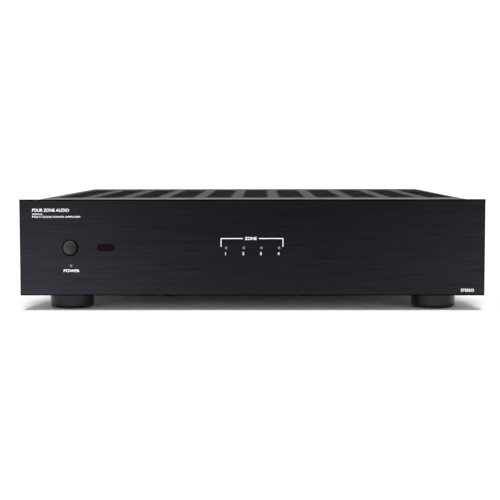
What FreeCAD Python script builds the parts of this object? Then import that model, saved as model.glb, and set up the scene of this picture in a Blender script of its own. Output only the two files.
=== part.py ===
"""Four-zone power amplifier, 2U high: a thick front plate on a sheet-metal case with a slotted cover.

Millimetres, +Z up, the front faces -Y. The floor under the feet is Z = 0, and the origin is the middle
of the footprint. Every size is in the Sizes sheet, and every object is bound to it.
"""
import FreeCAD, Part
import math
import os
import re

import Sketcher

SIZES = {
    # Case
    "PlateWidth": 430.0, "PlateHeight": 89.0, "PlateThick": 6.0, "PlateBottom": 15.5, "PlateChamfer": 1.0,
    "FaceY": -210.5, "RearY": 201.5,
    "CoverWidth": 404.0, "CoverTop": 104.0, "CoverGap": 0.2, "SheetThick": 1.0, "BendRadius": 2.0,
    "LipHeight": 11.0, "BoreReach": 900.0,
    "CaseBottom": 18.5, "PanThick": 1.2, "PanFlange": 16.0, "PanFrontFlange": 8.0, "PanRearFlange": 6.3,
    "PanelWidth": 401.0, "PanelTop": 102.8, "SubWidth": 398.0, "SideClearance": 0.1,
    # Ventilation
    "SlotLength": 25.0, "SlotWidth": 6.4, "SlotPitchX": 36.3, "SlotPitchY": 9.8, "SlotColumns": 11,
    "SlotRows": 29, "SlotOffsetX": 2.5, "SlotStart": 80.2,
    "VentLength": 30.0, "VentWidth": 5.0, "VentPitchX": 38.0, "VentPitchY": 16.0, "VentColumns": 7,
    "VentRows": 3, "VentX": -55.0, "VentY": -12.0,
    # Front controls, measured from the bottom edge of the plate
    "ButtonX": -168.2, "ButtonZ": 44.5, "ButtonHole": 15.4, "ButtonWide": 13.0, "ButtonProud": 2.0,
    "ButtonRim": 0.8, "ButtonDish": 22.0, "ButtonDishDepth": 0.6, "ButtonFlange": 17.0,
    "ButtonFlangeThick": 1.4, "ButtonFlangeHole": 18.0, "ButtonStem": 4.0,
    "RunningGap": 0.05, "FlangeGap": 0.1, "StemSeat": 2.0,
    "SpringWire": 0.6, "SpringWide": 7.4, "SpringTurns": 5.0,
    "SwitchWide": 12.0, "SwitchHigh": 12.0, "SwitchDeep": 5.0,
    "WindowX": -135.3, "WindowZ": 44.6, "WindowLength": 17.0, "WindowWide": 6.9, "WindowRecess": 0.4,
    "WindowFlangeLength": 21.0, "WindowFlangeWide": 11.0,
    "SensorWide": 8.0, "SensorHigh": 7.0, "SensorDeep": 5.0, "SensorLens": 2.6,
    "PowerLightX": -167.5, "PowerLightZ": 27.8, "ZoneLightX": 0.6, "ZoneLightZ": 44.3,
    "ZoneLightPitch": 16.3,
    "LightHole": 2.5, "LightPipe": 2.4, "LightSubHole": 3.0, "LightBarHigh": 5.0, "LightBarThick": 3.0,
    "LightBarSpare": 6.0, "LedWide": 3.2, "LedDeep": 1.2, "LedGap": 0.2,
    # Front boards
    "ControlGap": 14.8, "BoardThick": 1.6, "ControlLeft": -190.0, "ControlLength": 240.0,
    "ControlBottom": 34.0, "ControlHeight": 46.0, "ControlInset": 5.0,
    "SnapWide": 6.0, "SnapStud": 3.0, "SnapHole": 3.2, "SnapHead": 4.4, "SnapHeadHigh": 1.5,
    # Feet
    "FootX": 173.5, "FootInset": 45.0, "FootWide": 41.6, "FootRound": 3.5, "FootLift": 0.5,
    "FootPadWide": 26.0, "FootPadThick": 2.0, "FootPadHole": 11.0, "FootRecessDeep": 10.0,
    "FootScrewReach": 4.0,
    # Screws
    "ScrewShank": 2.9, "ScrewHead": 5.6, "ScrewHeadHigh": 2.0, "ScrewTaper": 0.8, "ScrewHole": 3.4,
    "ScrewThread": 3.0, "ScrewReach": 4.5, "CrossLength": 3.2, "CrossWide": 0.7, "CrossDeep": 1.2,
    "PlateScrewX": 187.0, "PlateScrewMidX": 70.0, "PlateScrewLow": 7.5, "PlateScrewHigh": 75.0,
    "SideScrewInset": 60.0, "SideScrewUp": 9.0, "LipScrewX": 150.0, "LipScrewDown": 6.0,
    "PanelScrewX": 191.0, "PanelScrewUp": 3.2, "LeadIn": 1.0,
    # Transformer
    "CoilX": -115.0, "CoilY": -80.0, "CoilWide": 110.0, "CoilBore": 36.0, "CoilHigh": 44.0,
    "CoilRound": 11.0, "CoilPadWide": 86.0, "CoilPadThick": 1.5, "CoilPlateWide": 80.0,
    "CoilPlateThick": 2.0, "BoltWide": 8.0, "BoltHole": 8.2, "BoltHex": 15.0, "BoltHeadHigh": 5.3,
    "NutHigh": 6.5, "BoltSpare": 3.0,
    # Supply board
    "SupplyX": 0.0, "SupplyY": -155.0, "SupplyLength": 180.0, "SupplyDepth": 125.0, "SpacerHigh": 5.3,
    "SpacerWide": 6.0, "SpacerBore": 3.0, "BoardHole": 3.3, "BoardInset": 6.0,
    "ReservoirWide": 30.0, "ReservoirHigh": 45.0, "ReservoirRound": 1.5, "ReservoirX": 30.0,
    "ReservoirY": -60.0, "ReservoirPitch": 40.0, "RectifierX": 90.0, "RectifierY": -125.0,
    "RectifierWide": 25.0, "RectifierThick": 6.0, "RectifierHigh": 20.0, "RectifierLift": 4.0,
    "RectifierPitch": 7.5, "LegWide": 1.0,
    # Amplifier board
    "AmplifierX": -60.0, "AmplifierY": 40.0, "AmplifierLength": 255.0, "AmplifierRear": 3.6,
    "SinkX": -45.0, "SinkY": 44.0, "SinkLength": 210.0, "SinkDepth": 40.0, "SinkHigh": 58.0,
    "SinkBase": 6.0, "SinkFin": 2.4, "SinkFins": 19,
    "ChipWide": 20.0, "ChipThick": 4.6, "ChipHigh": 18.0, "ChipLift": 6.0, "ChipShift": -14.0,
    "ChipLegs": 5, "ChipPitch": 3.4,
    "ZoneX": 165.0, "ZonePitch": 62.0,
    "FilterWide": 12.5, "FilterHigh": 20.0, "FilterY": 120.0, "FilterSpread": 18.0, "FilterRound": 0.8,
    # Rear connectors
    "JackHigh": 82.0, "JackLow": 62.0, "JackSide": 16.0, "KnobSide": -12.0, "BusX": -72.0,
    "JackBodyWide": 14.0, "JackBodyHigh": 36.0, "JackBodyDeep": 10.0, "JackSeat": 4.0,
    "SleeveWide": 8.3, "SleeveSeat": 7.8, "SleeveBore": 6.6, "SleeveProud": 8.5, "SleeveHole": 8.0,
    "CoreRecess": 0.6, "CoreBore": 3.2, "CoreBoreDeep": 7.0,
    "PotWide": 13.0, "PotHigh": 14.0, "BushWide": 7.0, "BushHole": 7.1, "ShaftWide": 5.0,
    "ShaftDeep": 7.0, "KnobWide": 11.0, "KnobGap": 0.5, "KnobProud": 11.0, "KnobRim": 0.8,
    "KnobFlute": 1.0, "KnobFlutes": 14, "KnobFluteShort": 2.5, "KnobMark": 0.8, "KnobMarkDeep": 0.5,
    "InputLeft": -85.0, "InputLength": 281.0, "InputBottom": 50.0, "InputHeight": 46.0,
    "HeaderWide": 24.3, "HeaderHigh": 15.0, "HeaderDeep": 14.5, "HeaderMouthWide": 22.3,
    "HeaderMouthHigh": 12.0, "HeaderMouthDeep": 9.5, "HeaderProud": 1.0, "HeaderHoleGap": 0.1,
    "PinPitch": 5.08, "PinWide": 1.0, "PinLong": 7.5,
    # Mains entry
    "InletX": -165.0, "InletZ": 62.0, "InletWide": 28.0, "InletHigh": 21.0, "InletDeep": 20.0,
    "InletFlangeWide": 50.0, "InletFlangeHigh": 28.0, "InletFlangeThick": 3.0, "InletMouthWide": 24.2,
    "InletMouthHigh": 16.6, "InletMouthDeep": 16.5, "InletMouthCut": 4.0, "InletScrewX": 20.0,
    "BladeWide": 2.0, "BladeHigh": 4.0, "BladeLong": 12.0, "BladeTail": 8.0, "BladePitch": 7.0,
    "BladeDrop": 2.0,
    "RockerX": -122.0, "RockerZ": 62.0, "BezelWide": 15.0, "BezelHigh": 21.0, "BezelThick": 1.5,
    "SwitchBodyWide": 13.0, "SwitchBodyHigh": 19.0, "SwitchBodyDeep": 14.0, "RockerSlotWide": 10.4,
    "RockerSlotHigh": 17.6, "RockerSlotDeep": 8.0, "RockerWide": 10.0, "RockerHalf": 7.8,
    "RockerBack": 2.0, "RockerCrest": 3.4, "RockerDip": 2.0, "RockerTilt": 10.0, "PivotWide": 2.0,
    "PivotLong": 12.2, "PivotDeep": 1.0,
    # Wiring
    "RibbonWide": 18.0, "RibbonThick": 1.2, "RibbonX": -32.0, "RibbonTop": 94.0, "RibbonBend": 8.0,
    "RibbonStart": 70.0, "RibbonEnd": 72.0, "PlugDeep": 6.0, "PlugHigh": 5.0, "PlugSpare": 1.5,
    "RibbonRun": 10.0,
    "LeadWide": 2.4, "LeadBend": 8.0, "LeadGap": 0.2, "LeadSide": 3.0, "LeadBack": 22.0, "LeadHigh": 50.0,
    "LeadLow": 40.0, "LeadTop": 68.0, "LeadDown": 140.0, "LeadCross": 5.0, "LeadAcross": -114.0,
    "SecondaryHigh": 45.0, "SecondaryX": 12.0, "FeedX": 171.0, "FeedPitch": 5.0, "FeedStart": -50.0,
    "FeedEnd": 100.0, "FeedHigh": 46.0,
}

ZONES = 4
AXIS_TURNS = {"+Y": (1, 0, 0, -90), "-Y": (1, 0, 0, 90), "+X": (0, 1, 0, 90), "-X": (0, 1, 0, -90),
              "+Z": (0, 0, 1, 0), "-Z": (1, 0, 0, 180)}

NEAR = 0.01

doc = FreeCAD.newDocument("Amplifier")
sheet = doc.addObject("Spreadsheet::Sheet", "Sizes")
for row, (alias, size) in enumerate(SIZES.items(), start=1):
    sheet.set(f"A{row}", alias)
    sheet.set(f"B{row}", str(size))
    sheet.setAlias(f"B{row}", alias)
doc.recompute()

nodes = {}


# ---------------------------------------------------------------- helpers

def bound(text):
    """The expression with each size name pointed at the sheet."""
    return re.sub(r"\b([A-Z][A-Za-z]+)\b", r"Sizes.\1", str(text))


def value(text):
    """The number that an expression has now."""
    return float(sheet.evalExpression(bound(text)))


def place(item, at, axis="+Z"):
    """Turn the item so that its own Z lies along the axis, and bind its position."""
    x, y, z, angle = AXIS_TURNS[axis]
    turn = FreeCAD.Rotation(FreeCAD.Vector(x, y, z), angle)
    item.Placement = FreeCAD.Placement(FreeCAD.Vector(), turn)
    for letter, text in zip("xyz", at):
        item.setExpression(f"Placement.Base.{letter}", bound(text))
    return item


def node(label, item):
    """Name a finished piece."""
    item.Label = label
    nodes[label] = item
    return item


def box(size, at):
    """A block from its low corner."""
    item = doc.addObject("Part::Box", "Block")
    for key, text in zip(("Length", "Width", "Height"), size):
        item.setExpression(key, bound(text))
    return place(item, at)


def centred(size, at):
    """A block with its middle at the place given."""
    corner = [f"{middle} - ({span}) / 2" for middle, span in zip(at, size)]
    return box(size, corner)


def rod(width, length, at, axis="+Z"):
    """A cylinder by its diameter, from one end along the axis."""
    item = doc.addObject("Part::Cylinder", "Rod")
    item.setExpression("Radius", bound(f"({width}) / 2"))
    item.setExpression("Height", bound(length))
    return place(item, at, axis)


def taper(width, end, length, at, axis="+Z"):
    """A cone frustum by the diameters of its two ends."""
    item = doc.addObject("Part::Cone", "Taper")
    item.setExpression("Radius1", bound(f"({width}) / 2"))
    item.setExpression("Radius2", bound(f"({end}) / 2"))
    item.setExpression("Height", bound(length))
    return place(item, at, axis)


def hexagon(width, length, at, axis="+Z"):
    """A six-sided prism by its width across corners."""
    item = doc.addObject("Part::Prism", "Hexagon")
    item.Polygon = 6
    item.setExpression("Circumradius", bound(f"({width}) / 2"))
    item.setExpression("Height", bound(length))
    return place(item, at, axis)


def fuse(*items):
    """The items joined into one solid."""
    item = doc.addObject("Part::MultiFuse", "Join")
    item.Shapes = list(items)
    return item


def cut(base, *tools):
    """The base with the tools taken away."""
    item = doc.addObject("Part::Cut", "Cut")
    item.Base = base
    item.Tool = tools[0] if len(tools) == 1 else fuse(*tools)
    return item


def group(items):
    """Separate solids kept in one piece name."""
    item = doc.addObject("Part::Compound", "Group")
    item.Links = list(items)
    return item


def fix_point(sketch, geometry, point, x, y):
    """Tie one point of a sketch to the sketch's origin."""
    for kind, text in (("DistanceX", x), ("DistanceY", y)):
        constraint = Sketcher.Constraint(kind, -1, 1, geometry, point, value(text))
        number = sketch.addConstraint(constraint)
        sketch.setExpression(f"Constraints[{number}]", bound(text))


def polygon(corners):
    """A closed loop of straight lines."""
    def draw(sketch):
        spots = [FreeCAD.Vector(value(x), value(y), 0) for x, y in corners]
        first = sketch.GeometryCount
        count = len(spots)
        for index, spot in enumerate(spots):
            sketch.addGeometry(Part.LineSegment(spot, spots[(index + 1) % count]))
        for index, (x, y) in enumerate(corners):
            following = first + (index + 1) % count
            sketch.addConstraint(Sketcher.Constraint("Coincident", first + index, 2, following, 1))
            fix_point(sketch, first + index, 1, x, y)
    return draw


def rectangle(x, y, width, height):
    """A rectangle by its middle and its two sides."""
    left, right = f"{x} - ({width}) / 2", f"{x} + ({width}) / 2"
    low, high = f"{y} - ({height}) / 2", f"{y} + ({height}) / 2"
    return polygon([(left, low), (right, low), (right, high), (left, high)])


def circle(x, y, width):
    """A circle by its middle and its diameter."""
    def draw(sketch):
        middle = FreeCAD.Vector(value(x), value(y), 0)
        radius = value(f"({width}) / 2")
        ring = sketch.addGeometry(Part.Circle(middle, FreeCAD.Vector(0, 0, 1), radius))
        number = sketch.addConstraint(Sketcher.Constraint("Radius", ring, radius))
        sketch.setExpression(f"Constraints[{number}]", bound(f"({width}) / 2"))
        fix_point(sketch, ring, 3, x, y)
    return draw


def obround(x, y, length, width):
    """A slot with round ends, lying along the sketch's first axis."""
    def draw(sketch):
        radius = value(width) / 2
        reach = value(length) / 2 - radius
        left = FreeCAD.Vector(value(x) - reach, value(y), 0)
        right = FreeCAD.Vector(value(x) + reach, value(y), 0)
        rise = FreeCAD.Vector(0, radius, 0)
        up = FreeCAD.Vector(0, 0, 1)
        quarter = math.pi / 2
        start = sketch.addGeometry(Part.ArcOfCircle(Part.Circle(left, up, radius), quarter, 3 * quarter))
        end = sketch.addGeometry(Part.ArcOfCircle(Part.Circle(right, up, radius), -quarter, quarter))
        low = sketch.addGeometry(Part.LineSegment(left - rise, right - rise))
        high = sketch.addGeometry(Part.LineSegment(right + rise, left + rise))
        for one, one_end, two, two_end in ((start, 2, low, 1), (low, 2, end, 1), (end, 2, high, 1),
                                           (high, 2, start, 1)):
            sketch.addConstraint(Sketcher.Constraint("Tangent", one, one_end, two, two_end))
        number = sketch.addConstraint(Sketcher.Constraint("Radius", start, radius))
        sketch.setExpression(f"Constraints[{number}]", bound(f"({width}) / 2"))
        fix_point(sketch, start, 3, f"{x} - ({length} - {width}) / 2", y)
        fix_point(sketch, end, 3, f"{x} + ({length} - {width}) / 2", y)
    return draw


class Body:
    """A PartDesign body whose sketches lie on its own origin planes."""

    def __init__(self, label, at):
        self.body = doc.addObject("PartDesign::Body", label)
        self.origin = {feature.Role: feature for feature in self.body.Origin.OriginFeatures}
        place(self.body, at)
        node(label, self.body)

    def sketch(self, plane, loops):
        """A sketch of closed loops on one origin plane."""
        sketch = self.body.newObject("Sketcher::SketchObject", "Sketch")
        sketch.AttachmentSupport = [(self.origin[plane], "")]
        sketch.MapMode = "FlatFace"
        for draw in loops:
            draw(sketch)
        return sketch

    def feature(self, kind, plane, loops, length, reverse):
        """A pad or a pocket of a sketch."""
        sketch = self.sketch(plane, loops)
        feature = self.body.newObject(f"PartDesign::{kind}", kind)
        feature.Profile = sketch
        feature.setExpression("Length", bound(length))
        feature.Reversed = reverse
        sketch.Visibility = False
        return feature

    def pad(self, plane, loops, length, reverse=False):
        """Material from the plane, along its normal unless reversed."""
        return self.feature("Pad", plane, loops, length, reverse)

    def pocket(self, plane, loops, length, reverse=False):
        """A cut from the plane, against its normal unless reversed."""
        return self.feature("Pocket", plane, loops, length, reverse)

    def bore(self, plane, loops):
        """A cut through everything on both sides of the plane."""
        feature = self.pocket(plane, loops, "BoreReach")
        feature.Midplane = True
        return feature

    def soften(self, kind, size, chosen):
        """A fillet or a chamfer on the edges that the test chooses."""
        doc.recompute()
        last = self.body.Tip
        names = [f"Edge{number}" for number, edge in enumerate(last.Shape.Edges, start=1) if chosen(edge)]
        feature = self.body.newObject(f"PartDesign::{kind}", kind)
        feature.Base = (last, names)
        feature.setExpression("Radius" if kind == "Fillet" else "Size", bound(size))
        return feature

    def repeat(self, feature, steps):
        """Rows of a feature along the body's axes: (axis, pitch, count) for each."""
        transform = self.body.newObject("PartDesign::MultiTransform", "Rows")
        transform.Originals = [feature]
        rows = []
        for axis, pitch, count in steps:
            pattern = doc.addObject("PartDesign::LinearPattern", "Row")
            self.body.addObject(pattern)
            pattern.Direction = (self.origin[axis], [""])
            pattern.setExpression("Length", bound(f"{pitch} * ({count} - 1)"))
            pattern.setExpression("Occurrences", bound(count))
            rows.append(pattern)
        transform.Transformations = rows
        self.body.Tip = transform

    def ring(self, feature, axis, count):
        """Copies of a feature around one axis."""
        pattern = self.body.newObject("PartDesign::PolarPattern", "Ring")
        pattern.Originals = [feature]
        pattern.Axis = (self.origin[axis], [""])
        pattern.Angle = 360
        pattern.setExpression("Occurrences", bound(count))
        self.body.Tip = pattern


def round_path(points, bend):
    """A wire through the points with an arc at each inner corner."""
    spots = [FreeCAD.Vector(*(value(text) for text in point)) for point in points]
    pieces = []
    here = spots[0]
    for before, corner, after in zip(spots, spots[1:], spots[2:]):
        back = (before - corner).normalize()
        ahead = (after - corner).normalize()
        half = math.acos(max(-1.0, min(1.0, back.dot(ahead)))) / 2
        trim = value(bend) / math.tan(half)
        start = corner + back * trim
        end = corner + ahead * trim
        middle = corner + (back + ahead).normalize() * (value(bend) / math.sin(half) - value(bend))
        pieces.append(Part.makeLine(here, start))
        pieces.append(Part.Arc(start, middle, end).toShape())
        here = end
    pieces.append(Part.makeLine(here, spots[-1]))
    return Part.Wire(pieces)


def swept(profile, path):
    """A loose feature that holds the profile swept along the path."""
    item = doc.addObject("Part::Feature", "Run")
    item.Shape = path.makePipeShell([profile], True, True)
    item.Placement = FreeCAD.Placement()
    return item


def lead(points):
    """One insulated wire along the points."""
    path = round_path(points, "LeadBend")
    start = path.Edges[0]
    heading = start.tangentAt(start.FirstParameter)
    spot = start.valueAt(start.FirstParameter)
    ring = Part.Wire(Part.makeCircle(value("LeadWide / 2"), spot, heading))
    return swept(ring, path)


def screw(at, axis, reach):
    """A pan-head cross-recess screw: the place is under its head, and the shank runs along the axis."""
    away = {"+": "-", "-": "+"}[axis[0]] + axis[1]
    shank = rod("ScrewShank", reach, at, axis)
    sign = 1 if away[0] == "+" else -1
    step = "XYZ".index(away[1])
    crown = list(at)
    crown[step] = f"{at[step]} + {sign} * (ScrewHeadHigh - ScrewTaper)"
    base = rod("ScrewHead", "ScrewHeadHigh - ScrewTaper", at, away)
    top = taper("ScrewHead", "ScrewHead - 2 * ScrewTaper", "ScrewTaper", crown, away)
    middle = list(at)
    middle[step] = f"{at[step]} + {sign} * (ScrewHeadHigh - CrossDeep / 2)"
    bars = []
    for long_axis in (index for index in range(len(at)) if index != step):
        size = ["CrossWide"] * len(at)
        size[long_axis] = "CrossLength"
        size[step] = "CrossDeep"
        bars.append(centred(size, middle))
    return cut(fuse(shank, base, top), *bars)


def zone_x(index):
    """The middle of one zone's connectors."""
    return f"(ZoneX - {index} * ZonePitch)"


def spread(index, count, pitch):
    """The place of one item in a centred row."""
    return f"({index - (count - 1) / 2}) * {pitch}"


SUB_BACK = "(FaceY + PlateThick + PanThick)"
PAN_TOP = "(CaseBottom + PanThick)"
PANEL_OUT = "(RearY - SheetThick)"
PANEL_IN = "(RearY - SheetThick - PanThick)"
BUTTON_Z = "(PlateBottom + ButtonZ)"
CONTROL_FRONT = f"({SUB_BACK} + ControlGap)"
BOARD_Z = f"({PAN_TOP} + SpacerHigh)"
BOARD_TOP = f"({BOARD_Z} + BoardThick)"
INPUT_FRONT = f"({PANEL_IN} - JackBodyDeep - BoardThick)"
HEADER_Z = f"({BOARD_TOP} + HeaderHigh / 2)"
LIGHTS = [(f"ZoneLightX + {spread(index, ZONES, 'ZoneLightPitch')}", "ZoneLightZ") for index in range(ZONES)]
POWER_LIGHT = ("PowerLightX", "PowerLightZ")
PLATE_SCREW_X = [f"{side} * {reach}" for side in (-1, 1) for reach in ("PlateScrewX", "PlateScrewMidX")]
PLATE_SCREWS = [(x, height) for x in PLATE_SCREW_X for height in ("PlateScrewLow", "PlateScrewHigh")]
CORNERS = [("front_left", -1, "FaceY + FootInset"), ("front_right", 1, "FaceY + FootInset"),
           ("rear_left", -1, "RearY - FootInset"), ("rear_right", 1, "RearY - FootInset")]
SIDE_SCREW_Y = ("FaceY + SideScrewInset", "RearY - SideScrewInset")
LIP_SCREWS = [f"{step} * LipScrewX" for step in (-1, 0, 1)]
PANEL_SCREWS = [f"{side} * PanelScrewX" for side in (-1, 1)]
INLET_SCREWS = [f"InletX + {side} * InletScrewX" for side in (-1, 1)]
JACK_X = [f"{zone_x(index)} + JackSide" for index in range(ZONES)] + ["BusX"]
JACKS = [(x, height) for x in JACK_X for height in ("JackHigh", "JackLow")]
KNOB_X = [f"{zone_x(index)} + KnobSide" for index in range(ZONES)]
KNOBS = [(x, height) for x in KNOB_X for height in ("JackHigh", "JackLow")]


# ---------------------------------------------------------------- case

plate = Body("front_panel", ("0", "FaceY + PlateThick", "PlateBottom"))
plate_edge = rectangle("0", "PlateHeight / 2", "PlateWidth", "PlateHeight")
plate_holes = [circle("ButtonX", "ButtonZ", "ButtonHole"),
               obround("WindowX", "WindowZ", "WindowLength", "WindowWide")]
plate_holes += [circle(x, z, "LightHole") for x, z in LIGHTS + [POWER_LIGHT]]
plate.pad("XZ_Plane", [plate_edge] + plate_holes, "PlateThick")


def front_edge(edge):
    """A test for the long edges around the front of the plate."""
    return edge.Length > value("PlateHeight") - NEAR and edge.BoundBox.YMax < value("-PlateThick / 2")


plate.soften("Chamfer", "PlateChamfer", front_edge)
blind_holes = [circle(x, z, "ScrewThread") for x, z in PLATE_SCREWS]
plate.pocket("XZ_Plane", blind_holes, "ScrewReach", reverse=True)

sub = Body("front_subpanel", ("0", SUB_BACK, PAN_TOP))
sub_up = f"(PlateBottom - {PAN_TOP})"
sub_high = f"(PanelTop - {PAN_TOP})"
sub_holes = [circle("ButtonX", f"ButtonZ + {sub_up}", "ButtonFlangeHole"),
             rectangle("WindowX", f"WindowZ + {sub_up}", "WindowFlangeLength + LeadIn",
                       "WindowFlangeWide + LeadIn")]
sub_holes += [circle(x, f"{z} + {sub_up}", "LightSubHole") for x, z in LIGHTS + [POWER_LIGHT]]
sub_holes += [circle(x, f"{z} + {sub_up}", "ScrewHole") for x, z in PLATE_SCREWS]
sub.pad("XZ_Plane", [rectangle("0", f"{sub_high} / 2", "SubWidth", sub_high)] + sub_holes, "PanThick")

pan = Body("bottom_pan", ("0", PANEL_IN, "CaseBottom"))
half = "(CoverWidth / 2 - SheetThick - SideClearance)"
inner = f"({half} - PanThick)"
pan_long = f"({PANEL_IN} - {SUB_BACK})"
trough = [(f"-{half}", "0"), (half, "0"), (half, "PanFlange"), (inner, "PanFlange"), (inner, "PanThick"),
          (f"-{inner}", "PanThick"), (f"-{inner}", "PanFlange"), (f"-{half}", "PanFlange")]
pan.pad("XZ_Plane", [polygon(trough)], pan_long)
front_wall = rectangle("0", f"PanThick / 2 - {pan_long}", f"2 * {inner}", "PanThick")
pan.pad("XY_Plane", [front_wall], "PanThick + PanFrontFlange")
low_screws = [circle(x, f"{z} + PlateBottom - CaseBottom", "ScrewThread") for x, z in PLATE_SCREWS
              if z == "PlateScrewLow"]
pan.bore("XZ_Plane", low_screws)
wall_high = "(PanThick + PanRearFlange)"
pan.pad("XZ_Plane", [rectangle("0", f"{wall_high} / 2", f"2 * {inner}", wall_high)], "PanThick")
pan.pocket("XZ_Plane", [circle(x, "PanThick + PanelScrewUp", "ScrewThread") for x in PANEL_SCREWS],
           "2 * PanThick", reverse=True)
pan_holes = [circle(f"{side} * FootX", f"{y} - {PANEL_IN}", "ScrewThread") for name, side, y in CORNERS]
pan_holes.append(circle("CoilX", f"CoilY - {PANEL_IN}", "BoltHole"))
pan.bore("XY_Plane", pan_holes)
pan.bore("YZ_Plane", [circle(f"{y} - {PANEL_IN}", "SideScrewUp", "ScrewThread") for y in SIDE_SCREW_Y])
first_vent = obround("VentX", f"VentY - {PANEL_IN}", "VentLength", "VentWidth")
vents = pan.pocket("XY_Plane", [first_vent], "2 * PanThick", reverse=True)
pan.repeat(vents, [("X_Axis", "VentPitchX", "VentColumns"), ("Y_Axis", "VentPitchY", "VentRows")])

rear = Body("rear_panel", ("0", PANEL_OUT, PAN_TOP))
rear_holes = [circle(x, f"{z} - {PAN_TOP}", "SleeveHole") for x, z in JACKS]
rear_holes += [circle(x, f"{z} - {PAN_TOP}", "BushHole") for x, z in KNOBS]
rear_holes += [rectangle(zone_x(index), f"{HEADER_Z} - {PAN_TOP}", "HeaderWide + 2 * HeaderHoleGap",
                         "HeaderHigh + 2 * HeaderHoleGap") for index in range(ZONES)]
rear_holes += [rectangle("InletX", f"InletZ - {PAN_TOP}", "InletWide", "InletHigh"),
               rectangle("RockerX", f"RockerZ - {PAN_TOP}", "SwitchBodyWide", "SwitchBodyHigh")]
rear_holes += [circle(x, "PanelScrewUp", "ScrewHole") for x in PANEL_SCREWS]
rear_holes += [circle(x, f"InletZ - {PAN_TOP}", "ScrewThread") for x in INLET_SCREWS]
rear_holes += [circle(x, f"CoverTop - LipScrewDown - {PAN_TOP}", "ScrewThread") for x in LIP_SCREWS]
rear_high = f"(PanelTop - {PAN_TOP})"
rear.pad("XZ_Plane", [rectangle("0", f"{rear_high} / 2", "PanelWidth", rear_high)] + rear_holes, "PanThick")

cover = Body("top_cover", ("0", "RearY", "CoverTop"))
cover_long = "(RearY - FaceY - PlateThick - CoverGap)"
outer = "(CoverWidth / 2)"
skin = f"({outer} - SheetThick)"
drop = "(CaseBottom - CoverTop)"
wrap = [(f"-{outer}", drop), (f"-{skin}", drop), (f"-{skin}", "-SheetThick"), (skin, "-SheetThick"),
        (skin, drop), (outer, drop), (outer, "0"), (f"-{outer}", "0")]
cover.pad("XZ_Plane", [polygon(wrap)], cover_long)


def bend_edge(width, height):
    """A test for the long edges at one height and half-width of the cover."""
    def chosen(edge):
        bounds = edge.BoundBox
        along = bounds.YLength > value(cover_long) / 2
        level = abs(bounds.ZMax - value(height)) < NEAR
        return along and level and abs(abs(bounds.XMax) - value(width)) < NEAR
    return chosen


cover.soften("Fillet", "BendRadius", bend_edge(outer, "0"))
cover.soften("Fillet", "BendRadius - SheetThick", bend_edge(skin, "-SheetThick"))
lip_high = "(LipHeight - SheetThick / 2)"
lip_middle = f"-(SheetThick / 2 + {lip_high} / 2)"
cover.pad("XZ_Plane", [rectangle("0", lip_middle, f"2 * {skin}", lip_high)], "SheetThick")
lip_holes = [circle(x, "-LipScrewDown", "ScrewHole") for x in LIP_SCREWS]
cover.pocket("XZ_Plane", lip_holes, "2 * SheetThick", reverse=True)
side_holes = [circle(f"{y} - RearY", f"{drop} + SideScrewUp", "ScrewHole") for y in SIDE_SCREW_Y]
cover.bore("YZ_Plane", side_holes)
first_slot = obround("SlotOffsetX - (SlotColumns - 1) / 2 * SlotPitchX", "FaceY + SlotStart - RearY",
                     "SlotLength", "SlotWidth")
slots = cover.pocket("XY_Plane", [first_slot], "2 * SheetThick")
cover.repeat(slots, [("X_Axis", "SlotPitchX", "SlotColumns"), ("Y_Axis", "SlotPitchY", "SlotRows")])


# ---------------------------------------------------------------- feet

for name, side, y in CORNERS:
    foot = Body(f"foot_{name}", (f"{side} * FootX", y, "FootLift"))
    foot.pad("XY_Plane", [circle("0", "0", "FootWide")], "CaseBottom - FootLift")
    foot.soften("Fillet", "FootRound", lambda edge: edge.BoundBox.ZMax < 1)
    foot.pocket("XY_Plane", [circle("0", "0", "FootPadWide")], "FootPadThick - FootLift", reverse=True)
    foot.pocket("XY_Plane", [circle("0", "0", "FootPadHole")], "FootRecessDeep - FootLift", reverse=True)
    foot.bore("XY_Plane", [circle("0", "0", "ScrewThread")])

pads = []
foot_screws = []
for name, side, y in CORNERS:
    x = f"{side} * FootX"
    disc = rod("FootPadWide", "FootPadThick", (x, y, "0"))
    pads.append(cut(disc, rod("FootPadHole", "FootPadThick", (x, y, "0"))))
    foot_screws.append(screw((x, y, "FootRecessDeep"), "+Z", "CaseBottom + FootScrewReach - FootRecessDeep"))
node("foot_pads", group(pads))
node("foot_screws", group(foot_screws))


# ---------------------------------------------------------------- case screws

plate_screws = []
for x, z in PLATE_SCREWS:
    low = z == "PlateScrewLow"
    seat = f"{SUB_BACK} + PanThick" if low else SUB_BACK
    reach = "ScrewReach + PanThick" if low else "ScrewReach"
    plate_screws.append(screw((x, seat, f"PlateBottom + {z}"), "-Y", reach))
node("front_panel_screws", group(plate_screws))

cover_screws = [screw((x, "RearY", "CoverTop - LipScrewDown"), "-Y", "ScrewReach") for x in LIP_SCREWS]
for y in SIDE_SCREW_Y:
    height = "CaseBottom + SideScrewUp"
    cover_screws.append(screw(("-CoverWidth / 2", y, height), "+X", "ScrewReach"))
    cover_screws.append(screw(("CoverWidth / 2", y, height), "-X", "ScrewReach"))
node("cover_screws", group(cover_screws))

rear_screws = [screw((x, PANEL_OUT, f"{PAN_TOP} + PanelScrewUp"), "-Y", "ScrewReach") for x in PANEL_SCREWS]
rear_screws += [screw((x, f"{PANEL_OUT} + InletFlangeThick", "InletZ"), "-Y", "InletFlangeThick + ScrewReach")
                for x in INLET_SCREWS]
node("rear_panel_screws", group(rear_screws))


# ---------------------------------------------------------------- front controls

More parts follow.
